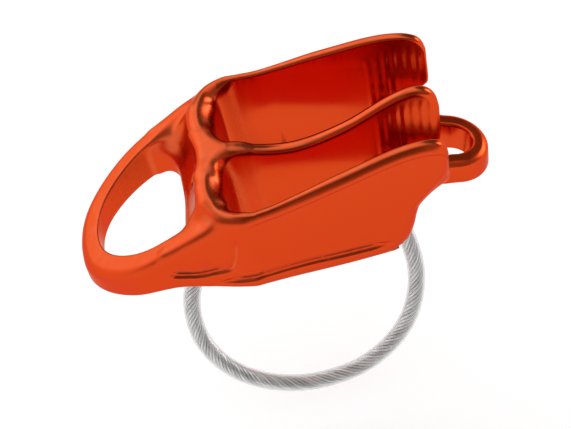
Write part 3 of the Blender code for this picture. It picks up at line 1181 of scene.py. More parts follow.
    def inner_y(self, x: np.ndarray | float) -> np.ndarray | float:
        """Distance of a side plate's inner face from the middle plane.

        Args:
            x: one place along X, or many.

        Returns:
            One distance for each place.
        """
        tangent_x = self.slot_x + self.slot_radius * math.sin(self.taper)
        tangent_y = self.slot_y + self.slot_radius * math.cos(self.taper)
        return tangent_y - (x - tangent_x) * math.tan(self.taper)

    def closed_share(self, share: float) -> float:
        """How near a place on the lobe's sweep is to the slot's closed end, 0 to 1."""
        nearness = math.cos(math.pi * (share - self.lip_middle) / self.lip_spread)
        return max(0.0, nearness) ** self.lip_power

    def lobe_point(self, share: float) -> PlanPoint:
        """A point of the wall round a slot's closed end.

        Args:
            share: how far it lies on the way from the web, 0, to the side plate, 1.

        Returns:
            The point on the wall's middle line.
        """
        stop = 90 - math.degrees(self.taper)
        angle = math.radians(self.lobe_start + (stop - self.lobe_start) * share)
        thin = float(ease(np.array(share), *self.lobe_thinning))
        lip = self.lobe_lip * self.closed_share(share)
        half = (self.lobe_wall + (self.lobe_side_wall - self.lobe_wall) * thin + lip) / 2
        radius = self.slot_radius + half - lip
        return PlanPoint(
            self.slot_x + radius * math.cos(angle), self.slot_y + radius * math.sin(angle), half,
            draft=self.lobe_draft * math.sin(math.pi * share) ** 2,
            joined=float(ease(np.array(1 - share / self.lobe_joined), 0.0, 1.0)))

    def wall_line(self) -> list[PlanPoint]:
        """Middle line of the far slot's wall: out of the web, round the end, along the plate.

        Returns:
            The line's points.
        """
        line = [PlanPoint(self.slot_x, 0.0, self.web_wall * self.web_root_share, joined=1.0)]
        line += [self.lobe_point(step / self.lobe_steps) for step in range(self.lobe_steps + 1)]
        plate_start = line[-1].x
        first_x = plate_start + self.plate_gap
        places = np.linspace(first_x, self.full_wall_x, self.plate_steps)
        for x in (*places, self.wall_end):
            thicker = float(ease(np.array(x), plate_start, self.full_wall_x))
            thickness = self.lobe_side_wall + (self.wall - self.lobe_side_wall) * thicker
            middle = self.inner_y(x) + thickness / 2 / math.cos(self.taper)
            line.append(PlanPoint(float(x), middle, thickness / 2))
        return line

    # Forms

    def height_share(self) -> np.ndarray:
        """How high each sample lies between the base and the rim, 0 to 1."""
        return np.clip((self.zs - self.base_z) / (self.rim_z - self.base_z), 0, 1)[None, None, :]

    def side_wall(self, side: Side) -> np.ndarray:
        """Field of one slot's wall and side plate.

        Args:
            side: which of the two slots.

        Returns:
            The field.
        """
        plan = PlanField.of_line(self.xs, self.ys * side.value, self.wall_line())
        inner = ease(plan.offset, -self.face_blend, self.face_blend)[:, :, None]
        outer_edge = self.outline(self.plate_top, self.plate_bottom)[:, None, :]
        inner_edge = self.outline(self.plate_top, self.plate_lip)[:, None, :]
        plate = outer_edge * (1 - inner) + inner_edge * inner
        joined = plan.joined[:, :, None]
        upright = plate * (1 - joined) + self.web_outline()[:, None, :] * joined
        draft = plan.draft[:, :, None] * (1 - inner) + self.slot_draft * inner
        gap = plan.gap[:, :, None] - draft * (1 - self.height_share())
        gap = gap - self.flutes()[:, None, :] * inner
        before_end = np.broadcast_to((self.slot_x - self.xs)[:, None], plan.gap.shape)
        turned = ease(before_end, *self.slot_end_blend)[:, :, None]
        inner_rounding = self.inner_rounding + (self.lobe_rounding - self.inner_rounding) * turned
        radius = self.outer_rounding * (1 - inner) + inner_rounding * inner
        return meet(gap, upright, radius.astype(np.float32))

    def web_outline(self) -> np.ndarray:
        """Field of the web seen from the side."""
        return self.outline(self.web_top, self.web_bottom)

    def web(self) -> np.ndarray:
        """Field of the web between the slots.

        Returns:
            The field.
        """
        start = PlanPoint(self.slot_start + self.lobe_wall, 0.0, self.web_wall / 2)
        end = PlanPoint(self.wall_end, 0.0, self.web_wall / 2)
        plan = PlanField.of_line(self.xs, self.ys, [start, end])
        draft = self.web_draft * (1 - self.height_share())
        gap = plan.gap[:, :, None] - self.flutes()[:, None, :] - draft
        return meet(gap, self.web_outline()[:, None, :], self.web_rounding)

    def flutes(self) -> np.ndarray:
        """Height of the braking flutes that stand on the walls at the slots' open ends.

        Returns:
            One height for each place seen from the side.
        """
        place = (self.xs[:, None] - self.flute_start) / self.flute_pitch
        place = np.clip(place, 0, self.flute_count)
        beat = 1 - self.flute_unevenness + self.flute_unevenness * np.cos(self.flute_beat * place)
        wave = (0.5 - 0.5 * np.cos(2 * math.pi * place)) * beat
        below = self.heights(self.web_top) - self.zs[None, :]
        return (self.flute_height * wave * ease(below, *self.flute_fade)).astype(np.float32)

    def junction(self) -> np.ndarray:
        """Field of the metal between the two round slot ends, level with their rims.

        Returns:
            The field.
        """
        far, near = (PlanField.of_line(self.xs, self.ys * side.value, self.wall_line()).gap
                     for side in Side)
        middle = outline_field(self.xs, self.ys, self.metres(self.junction_plan))
        plan = melt(melt(far, near, self.junction_plan_reach), middle, self.junction_plan_reach)
        plan = plan + self.junction_fade * np.maximum(self.xs - self.junction_fade_x, 0)[:, None]
        plan = meet(plan, (self.xs - self.junction_end)[:, None], self.junction_end_rounding)
        plan = np.maximum(plan, (np.abs(self.ys) - self.junction_half)[None, :])
        return meet(plan[:, :, None], self.web_outline()[:, None, :], self.junction_rounding)

    def eye(self) -> np.ndarray:
        """Field of the attachment eye's band, rounder inside towards the far lobe.

        Returns:
            The field.
        """
        far = [PlanPoint(x * MM, y * MM, half * MM)
               for x, y, half in smooth_line(self.eye_line, self.line_steps)]
        near = [PlanPoint(point.x, -point.y, point.half) for point in reversed(far)]
        plan = PlanField.of_line(self.xs, self.ys, near[:-1] + far)
        inner = ease(plan.offset, -self.eye_blend, self.eye_blend)[:, :, None]
        outer_edge, inner_edge = (self.outline(self.eye_top, bottom)[:, None, :]
                                  for bottom in (self.eye_bottom, self.eye_inner_bottom))
        on_far = ease(self.ys, *self.eye_far_from)[None, :, None]
        softness = self.eye_near_softness + (1 - self.eye_near_softness) * on_far
        softer = ease(self.xs, *self.eye_soft_from)[:, None, None] * softness
        inner_rounding = self.eye_inner_rounding + self.eye_softer_rounding * softer
        radius = self.eye_outer_rounding * (1 - inner) + inner_rounding * inner
        side = outer_edge * (1 - inner) + inner_edge * inner
        return meet(plan.gap[:, :, None], side, radius.astype(np.float32))

    def ledge(self) -> np.ndarray:
        """Field of the metal that rounds the eye's hole off towards the two slot ends.

        Returns:
            The field.
        """
        centre_x = self.ledge_x - self.ledge_corner
        centre_y = self.ledge_side - self.ledge_corner
        half = [(centre_x + self.ledge_corner * math.cos(angle),
                 centre_y + self.ledge_corner * math.sin(angle))
                for angle in np.linspace(0, math.pi / 2, self.ledge_corner_steps)]
        half += [(centre_x, self.ledge_half), (self.ledge_end, self.ledge_half)]
        outline = half + [(x, -y) for x, y in reversed(half)]
        plan = outline_field(self.xs, self.ys, outline)
        away_x = (self.xs - centre_x)[:, None]
        away_y = (np.abs(self.ys) - centre_y)[None, :]
        off_hole = np.hypot(np.maximum(away_x, 0), np.maximum(away_y, 0)) - self.ledge_corner
        ramp = np.clip(off_hole - self.ledge_flat, 0, self.ledge_ramp) * self.ledge_rise
        slant = math.hypot(1, self.ledge_steepness * self.ledge_rise)
        high = (self.zs - self.ledge_top - ramp[:, :, None]) / slant
        low = self.heights(self.eye_inner_bottom) - self.zs[None, :]
        level = np.maximum(high, low[:, None, :])
        return meet(plan[:, :, None], level.astype(np.float32), self.ledge_rounding)

    def release_eye(self) -> np.ndarray:
        """Field of the release eye's band, which rises a little towards its root.

        Returns:
            The field.
        """
        radius = (self.release_width + self.release_band) / 2
        reach = radius * self.release_stretch
        half = self.release_band / 2
        centre = self.release_tip - half - reach
        root_x, root_y = self.end_wall_x + self.end_wall / 2, radius + self.release_spread
        line = [PlanPoint(root_x, -root_y, half)]
        for step in range(self.release_steps + 1):
            angle = math.pi * (step / self.release_steps - 0.5)
            line.append(PlanPoint(centre + reach * math.cos(angle), radius * math.sin(angle), half))
        line.append(PlanPoint(root_x, root_y, half))
        plan = PlanField.of_line(self.xs, self.ys, line)
        inner = ease(-plan.offset, -self.release_blend, self.release_blend)
        rounding = self.release_outer_rounding * (1 - inner) + self.release_inner_rounding * inner
        lift = (self.release_slope * (self.release_tip - self.xs))[:, None, None]
        rise = self.zs - lift - self.release_top
        level = np.maximum(rise, -rise - self.release_height)
        deep = np.clip(-rise, 0, self.release_height) * self.release_draft
        gap = plan.gap[:, :, None] - deep * inner[:, :, None]
        return meet(gap, level.astype(np.float32), rounding[:, :, None].astype(np.float32))

    def end_wall_field(self) -> np.ndarray:
        """Field of the low wall across the slots' open end.

        Returns:
            The field.
        """
        end, half = self.end_wall_x + self.end_wall, self.end_wall / 2
        outline = [(self.end_wall_x - half, self.base_z + self.end_wall_lift),
                   (end - half, self.end_wall_corner_z),
                   (end, self.end_wall_top), (self.end_wall_x, self.end_wall_top)]
        side = outline_field(self.xs, self.zs, outline)
        across = np.abs(self.ys) - self.inner_y(self.end_wall_x) - self.wall / 2
        return meet(side[:, None, :], across[None, :, None], self.end_wall_rounding)

    def upright(self, x: float, radius: float, low: float, high: float,
                rounding: float) -> np.ndarray:
        """Field of an upright round post in the middle plane.

        Args:
            x: place of its middle.
            radius: its radius.
            low: height of its foot.
            high: height of its top.
            rounding: radius of its edges.

        Returns:
            The field.
        """
        away = np.hypot(self.xs[:, None] - x, self.ys[None, :]) - radius
        level = np.maximum(self.zs - high, low - self.zs)[None, None, :]
        return meet(away[:, :, None], level.astype(np.float32), rounding)

    def bore(self, x: float) -> np.ndarray:
        """Field of a cable bore, whose mouth flares on downwards past the base.

        Args:
            x: place of its axis.

        Returns:
            The field.
        """
        away = np.hypot(self.xs[:, None] - x, self.ys[None, :])
        flare = (self.base_z + self.mouth_depth - self.zs) / self.mouth_depth
        flare = np.clip(flare, 0, self.mouth_widest)
        radius = self.bore_radius + self.mouth_flare * flare
        high = self.base_z + self.bore_depth
        return np.maximum(away[:, :, None] - radius[None, None, :], (self.zs - high)[None, None, :])

    def pin_hole(self) -> np.ndarray:
        """Field of the small hole that comes down into the anchor bore.

        Returns:
            The field.
        """
        away = np.hypot(self.xs[:, None] - self.anchor_x, self.ys[None, :]) - self.pin_radius
        low = self.base_z + self.bore_depth - self.pin_overlap
        return np.maximum(away[:, :, None], (low - self.zs)[None, None, :])

    # Marks on the outer faces

    def groove(self, away: np.ndarray, depth: float) -> np.ndarray:
        """Depth of a soft-edged groove at some distances from its middle."""
        return depth * np.exp(-(away / self.groove_width) ** 2)

    def rim_line(self) -> np.ndarray:
        """Depth of the hollow that starts in a line under each plate's rim.

        Returns:
            One depth for each place seen from the side.
        """
        below = self.heights(self.plate_top) - self.zs[None, :] - self.rim_line_drop
        hollow = ease(below, *self.rim_line_edge)
        hollow = hollow * np.exp(-np.maximum(below, 0) / self.rim_line_fade)
        return self.rim_line_depth * hollow * ease(self.xs, *self.rim_line_from)[:, None]

    def pad_grooves(self) -> np.ndarray:
        """Depth of the two grooves that frame the pad under the attachment eye.

        Returns:
            One depth for each place seen from the side.
        """
        depth = np.zeros((len(self.xs), len(self.zs)))
        for track in (self.pad_groove, self.pad_second_groove):
            line = self.metres(smooth_line(track, self.groove_steps))
            (first_x, first_z), (last_x, _) = line[0], line[-1]
            start, stop = self.pad_groove_end
            fade = ease(self.xs, last_x + start, last_x + stop)[:, None]
            if track is self.pad_groove:
                fade = fade * (1 - ease(self.zs, first_z - self.pad_groove_fade, first_z))[None, :]
            else:
                fade = fade * (1 - ease(self.xs, first_x - self.pad_second_fade, first_x))[:, None]
            away = track_field(self.xs, self.zs, line)
            depth = depth + self.groove(away, self.pad_groove_depth) * fade
        return depth

    def long_grooves(self) -> np.ndarray:
        """Depth of the pair of grooves along each plate's foot, which meet at both ends.

        Returns:
            One depth for each place seen from the side.
        """
        middle = self.heights(self.long_groove)
        first, last = self.long_groove[0][0] * MM, self.long_groove[-1][0] * MM
        lens = ease(self.xs, first, first + self.long_groove_start)
        lens = (lens * (1 - ease(self.xs, last - self.long_groove_stop, last)))[:, None]
        depth = np.zeros((len(self.xs), len(self.zs)))
        for side in Side:
            away = self.zs[None, :] - middle - side.value * self.long_groove_gap * lens
            depth = depth + self.groove(away, self.long_groove_depth) * lens
        return depth

    def outer_share(self) -> np.ndarray:
        """How far each plan sample lies on the outer side of the walls, 0 to 1.

        Returns:
            One share for each place seen from above.
        """
        bend = np.clip(self.slot_radius ** 2 - (self.xs - self.slot_x) ** 2, 0, None)
        inside = np.where(self.xs > self.slot_x + self.mark_plate_gap, self.inner_y(self.xs),
                          self.slot_y + np.sqrt(bend))
        inside = np.where(self.xs < self.mark_pad_x, self.mark_pad_y, inside)[:, None]
        return ease(np.abs(self.ys)[None, :] - inside, *self.mark_skin)

    def marked(self, shape: np.ndarray) -> np.ndarray:
        """Press the marks into both outer faces.

        Args:
            shape: the forging's field.

        Returns:
            The field with the line under each rim, the pad's grooves and the long ones.
        """
        depth = self.rim_line() + self.pad_grooves() + self.long_grooves()
        outer = self.outer_share().astype(np.float32)
        return shape + depth.astype(np.float32)[:, None, :] * outer[:, :, None]

    # The whole

    def solid(self) -> np.ndarray:
        """Field of the whole forging.

        Returns:
            The field.
        """
        shape = melt(self.side_wall(Side.FAR), self.side_wall(Side.NEAR), self.walls_reach)
        shape = melt(shape, self.web(), self.web_reach)
        shape = melt(shape, self.junction(), self.junction_reach)
        middle = 1 - ease(np.abs(self.ys), *self.scoop_half)[None, :, None]
        scoop = middle * ease(self.xs, *self.scoop_from)[:, None, None]
        anchor = self.upright(self.anchor_x, self.anchor_boss_radius,
                              self.base_z + self.anchor_boss_lift, self.anchor_boss_top,
                              self.anchor_boss_rounding)
        ledge = melt(self.ledge(), anchor, self.anchor_boss_reach)
        shape = melt(shape, ledge, self.ledge_reach + self.ledge_middle_reach * middle)
        shape = melt(shape, self.eye(), self.eye_reach + self.scoop_reach * scoop)
        shape = melt(shape, self.end_wall_field(), self.end_wall_reach)
        shape = melt(shape, self.release_eye(), self.release_reach)
        tail = self.upright(self.tail_x, self.boss_radius, self.base_z + self.boss_lift,
                            self.end_wall_top, self.boss_rounding)
        shape = self.marked(melt(shape, tail, self.boss_reach))
        shape = np.maximum(shape, (self.base_z - self.zs)[None, None, :] - self.lean())
        for x in (self.anchor_x, self.tail_x):
            shape = carve(shape, self.bore(x), self.bore_reach)
        return carve(shape, self.pin_hole(), self.pin_reach)

    def lean(self) -> np.ndarray:
        """How far below the base the metal may reach, which is only where the eye leans down."""
        return (ease(-self.xs, *self.lean_from) * self.lean_room)[:, None, None]

    def highlight_and_wear_values(self, mesher: NetMesher, points: np.ndarray) -> np.ndarray:
        """Share of painted highlight and rim wear at each point, 0 to 1: it bends out or faces
        upwards.

        Args:
            mesher: what holds the forging's field.
            points: places on its surface.

        Returns:
            One share for each point.
        """
        slope = mesher.slope(points, self.edge_step)
        bend = mesher.sample(points + slope * self.edge_look) - self.edge_look
        upward = slope[:, 2] / np.maximum(np.linalg.norm(slope, axis=1), TINY)
        upward = self.upward_share * ease(upward, *self.upward_range)
        upward = upward * (1 - ease(points[:, 0], *self.upward_end))
        return np.maximum(self.edge_share * ease(-bend / MM, *self.edge_bend), upward)

    def bright_values(self, points: np.ndarray) -> np.ndarray:
        """How far each point lies on the bright machined inner side of the walls, 0 to 1.

        Args:
            points: places on the forging's surface.

        Returns:
            One share for each point.
        """
        wall = [(point.x, point.y) for point in self.wall_line()[1:]]
        half = [(self.bright_open_x, wall[-1][1])] + wall[::-1]
        outline = half + [(self.bright_root_x, 0.0)] + [(x, -y) for x, y in reversed(half)]
        eye = [(x * MM, y * MM) for x, y, _ in self.eye_line]
        inside = np.minimum(
            outline_field(self.xs, self.ys, outline),
            outline_field(self.xs, self.ys, eye[::-1] + [(x, -y) for x, y in eye[1:]]))
        steps = (np.round((points[:, axis] - places[0]) / self.pitch)
                 for axis, places in enumerate((self.xs, self.ys)))
        column, row = (np.clip(step, 0, size - 1).astype(int)
                       for step, size in zip(steps, inside.shape))
        start, stop = self.bright_from
        flat = ease(points[:, 0], self.slot_x + start, self.slot_x + stop)
        dull = ease(points[:, 0], self.flute_start - self.flute_dull_from, self.flute_start)
        flat = flat * (1 - self.flute_dullness * dull)
        share = 1 - ease(inside[column, row], -self.bright_blend, self.bright_blend)
        return share * (self.bright_least + (1 - self.bright_least) * flat)

    def mesh(self) -> bpy.types.Object:
        """Build the forging's mesh, with the attributes that its finish reads.

        Returns:
            The piece.
        """
        mesher = NetMesher(self.grid, self.solid())
        points, faces = mesher.build()
        piece = mesh_object("forged_body_smooth", points, faces)
        # the "edge" values paint a paler highlight orange on rims and upward faces, and gate the
        # rim wear
        for name, values in (("edge", self.highlight_and_wear_values(mesher, points)),
                             ("bright", self.bright_values(points))):
            attribute = piece.data.attributes.new(name, "FLOAT", "POINT")
            attribute.data.foreach_set("value", values.astype(np.float32))
        triangles = 2 * len(faces)
        if triangles > self.face_limit:
            modifier = piece.modifiers.new("fewer_faces", "DECIMATE")
            modifier.ratio = self.face_limit / triangles
            bake(piece)
        piece.data.shade_smooth()
        self.shade(piece.data, mesher)
        return piece

    def shade(self, mesh: bpy.types.Mesh, mesher: NetMesher) -> None:
        """Give the mesh the field's own normals, so that it mirrors evenly.

        Args:
            mesh: the finished mesh.
            mesher: what holds the field that the mesh was made from.
        """
        points = np.empty(len(mesh.vertices) * 3, np.float32)
        mesh.vertices.foreach_get("co", points)
        points = points.reshape(-1, 3).astype(np.float64)
        normals = unit(mesher.slope(points, self.normal_step))
        self.lobe_blur.soften(mesher, points, normals)
        mesh.normals_split_custom_set_from_vertices(unit(normals).tolist())

    def dress(self, material: bpy.types.Material) -> bpy.types.Object:
        """Build the forging, give it its finish and put it on its body.

        Args:
            material: the anodised finish.

        Returns:
            The finished piece.
        """
        piece = self.mesh()
        piece.data.materials.append(material)
        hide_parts("forged_body")
        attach(piece, "device")
        return piece


@dataclass
class Keeper:
    """The keeper loop: laid wires in a clear sleeve, with a ferrule at each end.

    Plain sizes are in metres, and the shares are parts of the rope's radius. The route is in
    millimetres: X, and the depth below the base in the plane that the loop hangs in.
    """

    anchor_x: float = 12.8 * MM
    base_z: float = -6.8 * MM
    swing: float = math.radians(24.0)
    length_steps: int = 12
    sleeve_diameter: float = 3.9 * MM
    sleeve_bore: float = 3.3 * MM
    sleeve_sides: int = 28
    sharp_angle: float = math.radians(50.0)
    rope_diameter: float = 3.2 * MM
    rope_steps: int = 8
    strands: int = 11
    strand_share: float = 0.215
    strand_sides: int = 8
    ring_share: float = 0.785
    core_share: float = 0.70
    core_sides: int = 16
    lay_length: float = 13.5 * MM
    wire_step: float = 0.40 * MM
    tone_seed: int = 7
    route: Line = field(default_factory=lambda: [
        (12.8, 0.0), (12.5, 3.0), (10.7, 7.5), (8.0, 12.5), (5.7, 18.0), (4.9, 24.3), (5.7, 30.6),
        (8.3, 36.4), (12.2, 41.1), (17.1, 44.4), (22.4, 46.4), (28.0, 47.2), (33.6, 46.8),
        (39.2, 45.4), (44.3, 42.7), (48.9, 38.7), (52.5, 33.7), (54.8, 27.6), (55.7, 21.2),
        (55.3, 15.5), (54.1, 9.5), (52.7, 4.0), (52.2, 0.0)])

    def path(self, steps: int) -> list[Vector]:
        """Draw the loop's centre line in space.

        Args:
            steps: how many steps there are from each of the route's points to the next.

        Returns:
            The line's points, in metres.
        """
        flat = smooth_line(self.route, steps)
        return [Vector((x * MM, -depth * MM * math.sin(self.swing),
                        self.base_z - depth * MM * math.cos(self.swing))) for x, depth in flat]

    def length(self) -> float:
        """Length of the loop's centre line between its two mouths."""
        path = self.path(self.length_steps)
        return sum((b - a).length for a, b in zip(path, path[1:]))

    def curve(self, name: str) -> bpy.types.Object:
        """Put the centre line in the scene as a curve.

        Args:
            name: the object's name.

        Returns:
            The object.
        """
        data = bpy.data.curves.new(name, "CURVE")
        data.dimensions = "3D"
        path = self.path(self.rope_steps)
        spline = data.splines.new("POLY")
        spline.points.add(len(path) - 1)
        for slot, place in zip(spline.points, path):
            slot.co = (*place, 1.0)
        return linked(name, data)

    def tree_inputs(self) -> dict[str, float | int]:
        """What the wires' node tree takes, by the names of its inputs."""
        return {"Rope Radius": self.rope_diameter / 2, "Lay Length": self.lay_length,
                "Step": self.wire_step, "Strands": self.strands}

    @staticmethod
    def circle(tree: Tree, radius: Fed, sides: Fed) -> bpy.types.NodeSocket:
        """Add a circle to a geometry tree.

        Args:
            tree: the geometry tree.
            radius: the circle's radius.
            sides: how many points it has.

        Returns:
            The circle's curve.
        """
        node = tree.add("GeometryNodeCurvePrimitiveCircle", mode="RADIUS")
        tree.feed(node.inputs["Radius"], radius)
        tree.feed(node.inputs["Resolution"], sides)
        return node.outputs["Curve"]

    def section(self, tree: Tree, start: bpy.types.Node) -> bpy.types.NodeSocket:
        """Add the rope's cross-section: a ring of strands, each with its own tone, and a core.

        Args:
            tree: the geometry tree.
            start: its input node.

        Returns:
            The section's curves.
        """
        strand_radius, ring_radius, core_radius = (
            tree.calc(Calc.MULTIPLY, start.outputs["Rope Radius"], share)
            for share in (self.strand_share, self.ring_share, self.core_share))
        ring = self.circle(tree, ring_radius, start.outputs["Strands"])
        strand = self.circle(tree, strand_radius, self.strand_sides)
        spots = tree.chain("GeometryNodeCurveToPoints", ring, mode="EVALUATED")
        laid = tree.chain("GeometryNodeInstanceOnPoints", spots, {"Instance": strand})
        shade = tree.add("FunctionNodeRandomValue", data_type="FLOAT")
        shade.inputs["Seed"].default_value = self.tone_seed
        laid = tree.chain("GeometryNodeStoreNamedAttribute", laid,
                          {"Name": "tone", "Value": shade.outputs[1]},
                          data_type="FLOAT", domain="INSTANCE")
        whole = tree.add("GeometryNodeJoinGeometry")
        tree.feed(whole.inputs["Geometry"], tree.chain("GeometryNodeRealizeInstances", laid))
        tree.feed(whole.inputs["Geometry"], self.circle(tree, core_radius, self.core_sides))
        return whole.outputs["Geometry"]

    def strand_tree(self, material: bpy.types.Material) -> bpy.types.NodeTree:
        """Build the geometry nodes that lay round wires in a helix along a curve.

        Args:
            material: the wires' finish.

        Returns:
            The node tree.
        """
        group = bpy.data.node_groups.new("laid_wires", "GeometryNodeTree")
        for way in ("INPUT", "OUTPUT"):
            group.interface.new_socket("Geometry", in_out=way, socket_type="NodeSocketGeometry")
        for label, value in self.tree_inputs().items():
            kind = "NodeSocketInt" if isinstance(value, int) else "NodeSocketFloat"
            socket = group.interface.new_socket(label, in_out="INPUT", socket_type=kind)
            socket.default_value = value
        tree = Tree(group)
        start, end = tree.add("NodeGroupInput"), tree.add("NodeGroupOutput")
        along = tree.add("GeometryNodeSplineParameter").outputs["Length"]
        turns = tree.calc(Calc.DIVIDE, along, start.outputs["Lay Length"])
        line = tree.chain("GeometryNodeResampleCurve", start.outputs["Geometry"],
                          {"Length": start.outputs["Step"]}, mode="LENGTH")
        line = tree.chain("GeometryNodeSetCurveTilt", line,
                          {"Tilt": tree.calc(Calc.MULTIPLY, turns, 2 * math.pi)})
        wires = tree.chain("GeometryNodeCurveToMesh", line,
                           {"Profile Curve": self.section(tree, start), "Fill Caps": True})
        wires = tree.chain("GeometryNodeRealizeInstances", wires)
        wires = tree.chain("GeometryNodeSetShadeSmooth", wires)
        wires = tree.chain("GeometryNodeSetMaterial", wires, {"Material": material})
        tree.feed(end.inputs["Geometry"], wires)
        return group

    def rope(self, material: bpy.types.Material) -> bpy.types.Object:
        """Build the laid wire rope.

        Args:
            material: the wires' finish.

        Returns:
            The rope as a plain mesh.
        """
        source = self.curve("keeper_rope_line")
        modifier = source.modifiers.new("laid_wires", "NODES")
        modifier.node_group = self.strand_tree(material)
        values = self.tree_inputs()
        for item in modifier.node_group.interface.items_tree:
            if item.item_type == "SOCKET" and item.in_out == "INPUT" and item.name in values:
                modifier[item.identifier] = values[item.name]
        mesh = evaluated_mesh(source)
        bpy.data.objects.remove(source, do_unlink=True)
        return linked("keeper_laid_wires", mesh)

    def sleeve_ring(self, work: bmesh.types.BMesh, path: list[Vector], index: int,
                    radius: float) -> list[bmesh.types.BMVert]:
        """Make one ring of the sleeve's points, level with the base at the sleeve's two ends.

        Args:
            work: the mesh that takes the points.
            path: the sleeve's centre line.
            index: which of its points the ring stands round.
            radius: the ring's radius.

        Returns:
            The ring's points.
        """
        last = len(path) - 1
        side_axis = Vector((0.0, -math.cos(self.swing), math.sin(self.swing)))
        ahead = path[min(index + 1, last)] - path[max(index - 1, 0)]
        if index in (0, last):
            ahead = Vector((0, math.sin(self.swing), math.cos(self.swing)))
            ahead = -ahead if index == 0 else ahead
        across = ahead.normalized().cross(side_axis).normalized()
        angles = (2 * math.pi * side / self.sleeve_sides for side in range(self.sleeve_sides))
        return [work.verts.new(
            path[index] + (across * math.cos(angle) + side_axis * math.sin(angle)) * radius)
            for angle in angles]

    def sleeve(self, material: bpy.types.Material) -> bpy.types.Object:
        """Build the clear sleeve, an open-ended tube with a wall.

        Args:
            material: the sleeve's finish.

        Returns:
            The sleeve.
        """
        path = self.path(5)
        work = bmesh.new()
        outer, inner = ([self.sleeve_ring(work, path, index, diameter / 2)
                         for index in range(len(path))]
                        for diameter in (self.sleeve_diameter, self.sleeve_bore))
        for side in range(self.sleeve_sides):
            other = (side + 1) % self.sleeve_sides
            for row in (outer, inner):
                for a, b in zip(row, row[1:]):
                    work.faces.new((a[side], a[other], b[other], b[side]))
            for end in (0, -1):
                work.faces.new((outer[end][side], outer[end][other], inner[end][other],
                                inner[end][side]))
        bmesh.ops.recalc_face_normals(work, faces=work.faces)
        mesh = bpy.data.meshes.new("keeper_clear_sleeve")
        work.to_mesh(mesh)
        work.free()
        mesh.shade_smooth()
        mesh.set_sharp_from_angle(angle=self.sharp_angle)
        mesh.materials.append(material)
        return linked("keeper_clear_sleeve", mesh)

    def dress(self, wire: bpy.types.Material, clear: bpy.types.Material,
              steel: bpy.types.Material) -> list[bpy.types.Object]:
        """Build the loop's pieces and put them on their body.

        Args:
            wire: the rope's finish.
            clear: the sleeve's finish.
            steel: the ferrules' finish.

        Returns:
            The loop's pieces, the two ferrules among them.
        """
        rope = self.rope(wire)
        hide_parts("keeper_wire_rope")
        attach(rope, "keeper")
        sleeve = self.sleeve(clear)
        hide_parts("keeper_sleeve")
        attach(sleeve, "keeper")
        ferrules = [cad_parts[name] for name in ("anchor_ferrule", "tail_ferrule")]
        for ferrule in ferrules:
            for slot in ferrule.material_slots:
                slot.material = steel
        return [rope, sleeve, *ferrules]


# Studio


@dataclass(frozen=True)
class SkyPatch:
    """A soft bright patch of the surround that the metal mirrors.

    Args:
        toward: direction of its middle.
        reach: cosines of the angles at which it starts and at which it is full.
        amount: brightness that it adds, or takes away where it is below zero.
    """

    toward: Point
    reach: Span
    amount: float


@dataclass(frozen=True)
class Softbox:
    """A rectangular soft light that faces a point and that the metal doesn't mirror.

    Args:
        name: the light's name.
        place: its place, in metres.
        size: its two sides, in metres.
        power: its power, in watts.
        target: the point that it faces.
    """

    name: str
    place: Point
    size: Span
    power: float
    target: Point = (0.03, 0.0, 0.0)

    def build(self) -> None:
        """Put the light in the scene."""
        data = bpy.data.lights.new(self.name, "AREA")
        data.shape = "RECTANGLE"
        data.size, data.size_y = self.size
        data.energy = self.power
        lamp = linked(self.name, data)
        away = Vector(self.target) - Vector(self.place)
        turn = away.to_track_quat("-Z", "Y").to_matrix().to_4x4()
        lamp.matrix_world = Matrix.Translation(self.place) @ turn
        lamp.visible_glossy = False


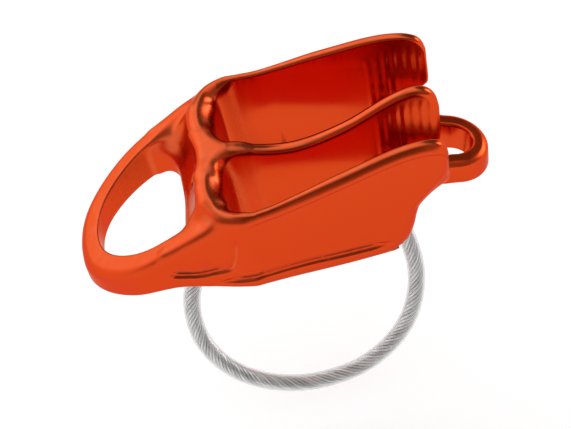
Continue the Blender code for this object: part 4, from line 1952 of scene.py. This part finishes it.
@dataclass
class Studio:
    """Pale floor, soft lights and the camera at the photograph's angle. Sizes are in metres."""

    camera_place: Point = (0.0407, -0.2111, 0.2954)
    back: Point = (0.0305, -0.5693, 0.8216)
    up: Point = (0.1690, 0.8131, 0.5572)
    focal_pixels: float = 1704.5
    image_width: float = 571.0
    sensor: float = 36.0
    clip_start: float = 0.01
    floor_size: float = 6.0
    floor_z: float = -0.060
    floor_grey: float = 0.86
    floor_roughness: float = 0.9
    floor_glow: float = 0.42
    mirrored_base: float = 0.34
    mirrored_least: float = 0.16
    diffuse_sky: float = 0.70
    shown_sky: float = 1.0
    key: Softbox = Softbox("key_softbox", (-0.25, 0.35, 0.60), (0.5, 0.4), 0.7)
    patches: list[SkyPatch] = field(default_factory=lambda: [
        SkyPatch((0.0, 0.30, 0.95), (0.55, 0.97), 0.68),
        SkyPatch((0.0, 0.80, 0.55), (0.60, 0.97), 0.32),
        SkyPatch((-0.92, 0.38, 0.22), (0.66, 0.97), 1.05),
        SkyPatch((0.92, 0.32, 0.16), (0.925, 0.998), 5.5),
        SkyPatch((0.0, -0.80, 0.60), (0.86, 0.985), -0.26),
        SkyPatch((0.66, 0.52, 0.50), (0.78, 0.98), -0.80),
        SkyPatch((0.42, 0.57, 0.70), (0.93, 0.99), -0.45),
    ])

    def camera(self) -> None:
        """Place the camera."""
        back = Vector(self.back).normalized()
        right = Vector(self.up).cross(back).normalized()
        up = back.cross(right)
        data = bpy.data.cameras.new("photo_camera")
        data.sensor_fit = "HORIZONTAL"
        data.sensor_width = self.sensor
        data.lens = self.sensor * self.focal_pixels / self.image_width
        data.clip_start = self.clip_start
        camera = linked("photo_camera", data)
        turn = Matrix((right, up, back)).transposed().to_4x4()
        camera.matrix_world = Matrix.Translation(self.camera_place) @ turn
        bpy.context.scene.camera = camera

    def floor(self) -> None:
        """Lay a wide pale floor that shows white and keeps the shadow."""
        bpy.ops.mesh.primitive_plane_add(size=self.floor_size, location=(0, 0, self.floor_z))
        floor = bpy.context.object
        floor.name = "floor"
        material, tree, shader = new_material("pale_floor")
        shader.inputs["Base Color"].default_value = (*(self.floor_grey,) * 3, 1.0)
        shader.inputs["Roughness"].default_value = self.floor_roughness
        shader.inputs["Specular IOR Level"].default_value = 0.0
        shader.inputs["Emission Color"].default_value = WHITE
        rays = tree.add("ShaderNodeLightPath").outputs
        seen = tree.calc(Calc.MAXIMUM, rays["Is Camera Ray"], rays["Is Glossy Ray"])
        glow = tree.calc(Calc.MULTIPLY, seen, self.floor_glow)
        tree.feed(shader.inputs["Emission Strength"], glow)
        floor.data.materials.append(material)

    def world(self) -> None:
        """Make a soft surround: even for diffuse light, patched for what the metal mirrors."""
        world = bpy.data.worlds.new("soft_surround")
        bpy.context.scene.world = world
        world.use_nodes = True
        tree = Tree(world.node_tree)
        direction = tree.add("ShaderNodeTexCoord").outputs["Generated"]
        mirrored: Fed = self.mirrored_base
        for patch in self.patches:
            facing = tree.add("ShaderNodeVectorMath", operation="DOT_PRODUCT")
            tree.feed(facing.inputs[0], direction)
            tree.feed(facing.inputs[1], Vector(patch.toward).normalized())
            share = tree.spread(
                facing.outputs["Value"], (0.0, patch.amount), patch.reach, smooth=True)
            mirrored = tree.calc(Calc.ADD, share, mirrored)
        mirrored = tree.calc(Calc.MAXIMUM, mirrored, self.mirrored_least)
        rays = tree.add("ShaderNodeLightPath").outputs
        unseen = tree.mix(rays["Is Glossy Ray"], self.diffuse_sky, mirrored, colours=False)
        strength = tree.mix(rays["Is Camera Ray"], unseen, self.shown_sky, colours=False)
        background = world.node_tree.nodes["Background"]
        tree.feed(background.inputs["Strength"], strength)
        background.inputs["Color"].default_value = WHITE

    def build(self) -> None:
        """Set up the whole studio."""
        self.camera()
        self.floor()
        self.world()
        self.key.build()
        bpy.context.scene.view_settings.view_transform = "Standard"


def main() -> None:
    """Build every sub-assembly in order."""
    logging.basicConfig(level=logging.INFO)
    Studio().build()
    effects = Effects(GrainEffect().group(), WearEffect().group())
    pieces = [Forging().dress(AnodisedFinish().material(effects))]
    keeper = Keeper()
    pieces += keeper.dress(WIRE_STEEL.material(effects), SleeveFinish().material(effects),
                           FERRULE_STEEL.material(effects))
    for piece in pieces:
        LOG.info("built %s with %d faces", piece.name, len(piece.data.polygons))
    LOG.info("the keeper is %.4f m long", keeper.length())


if __name__ == "__main__":
    main()
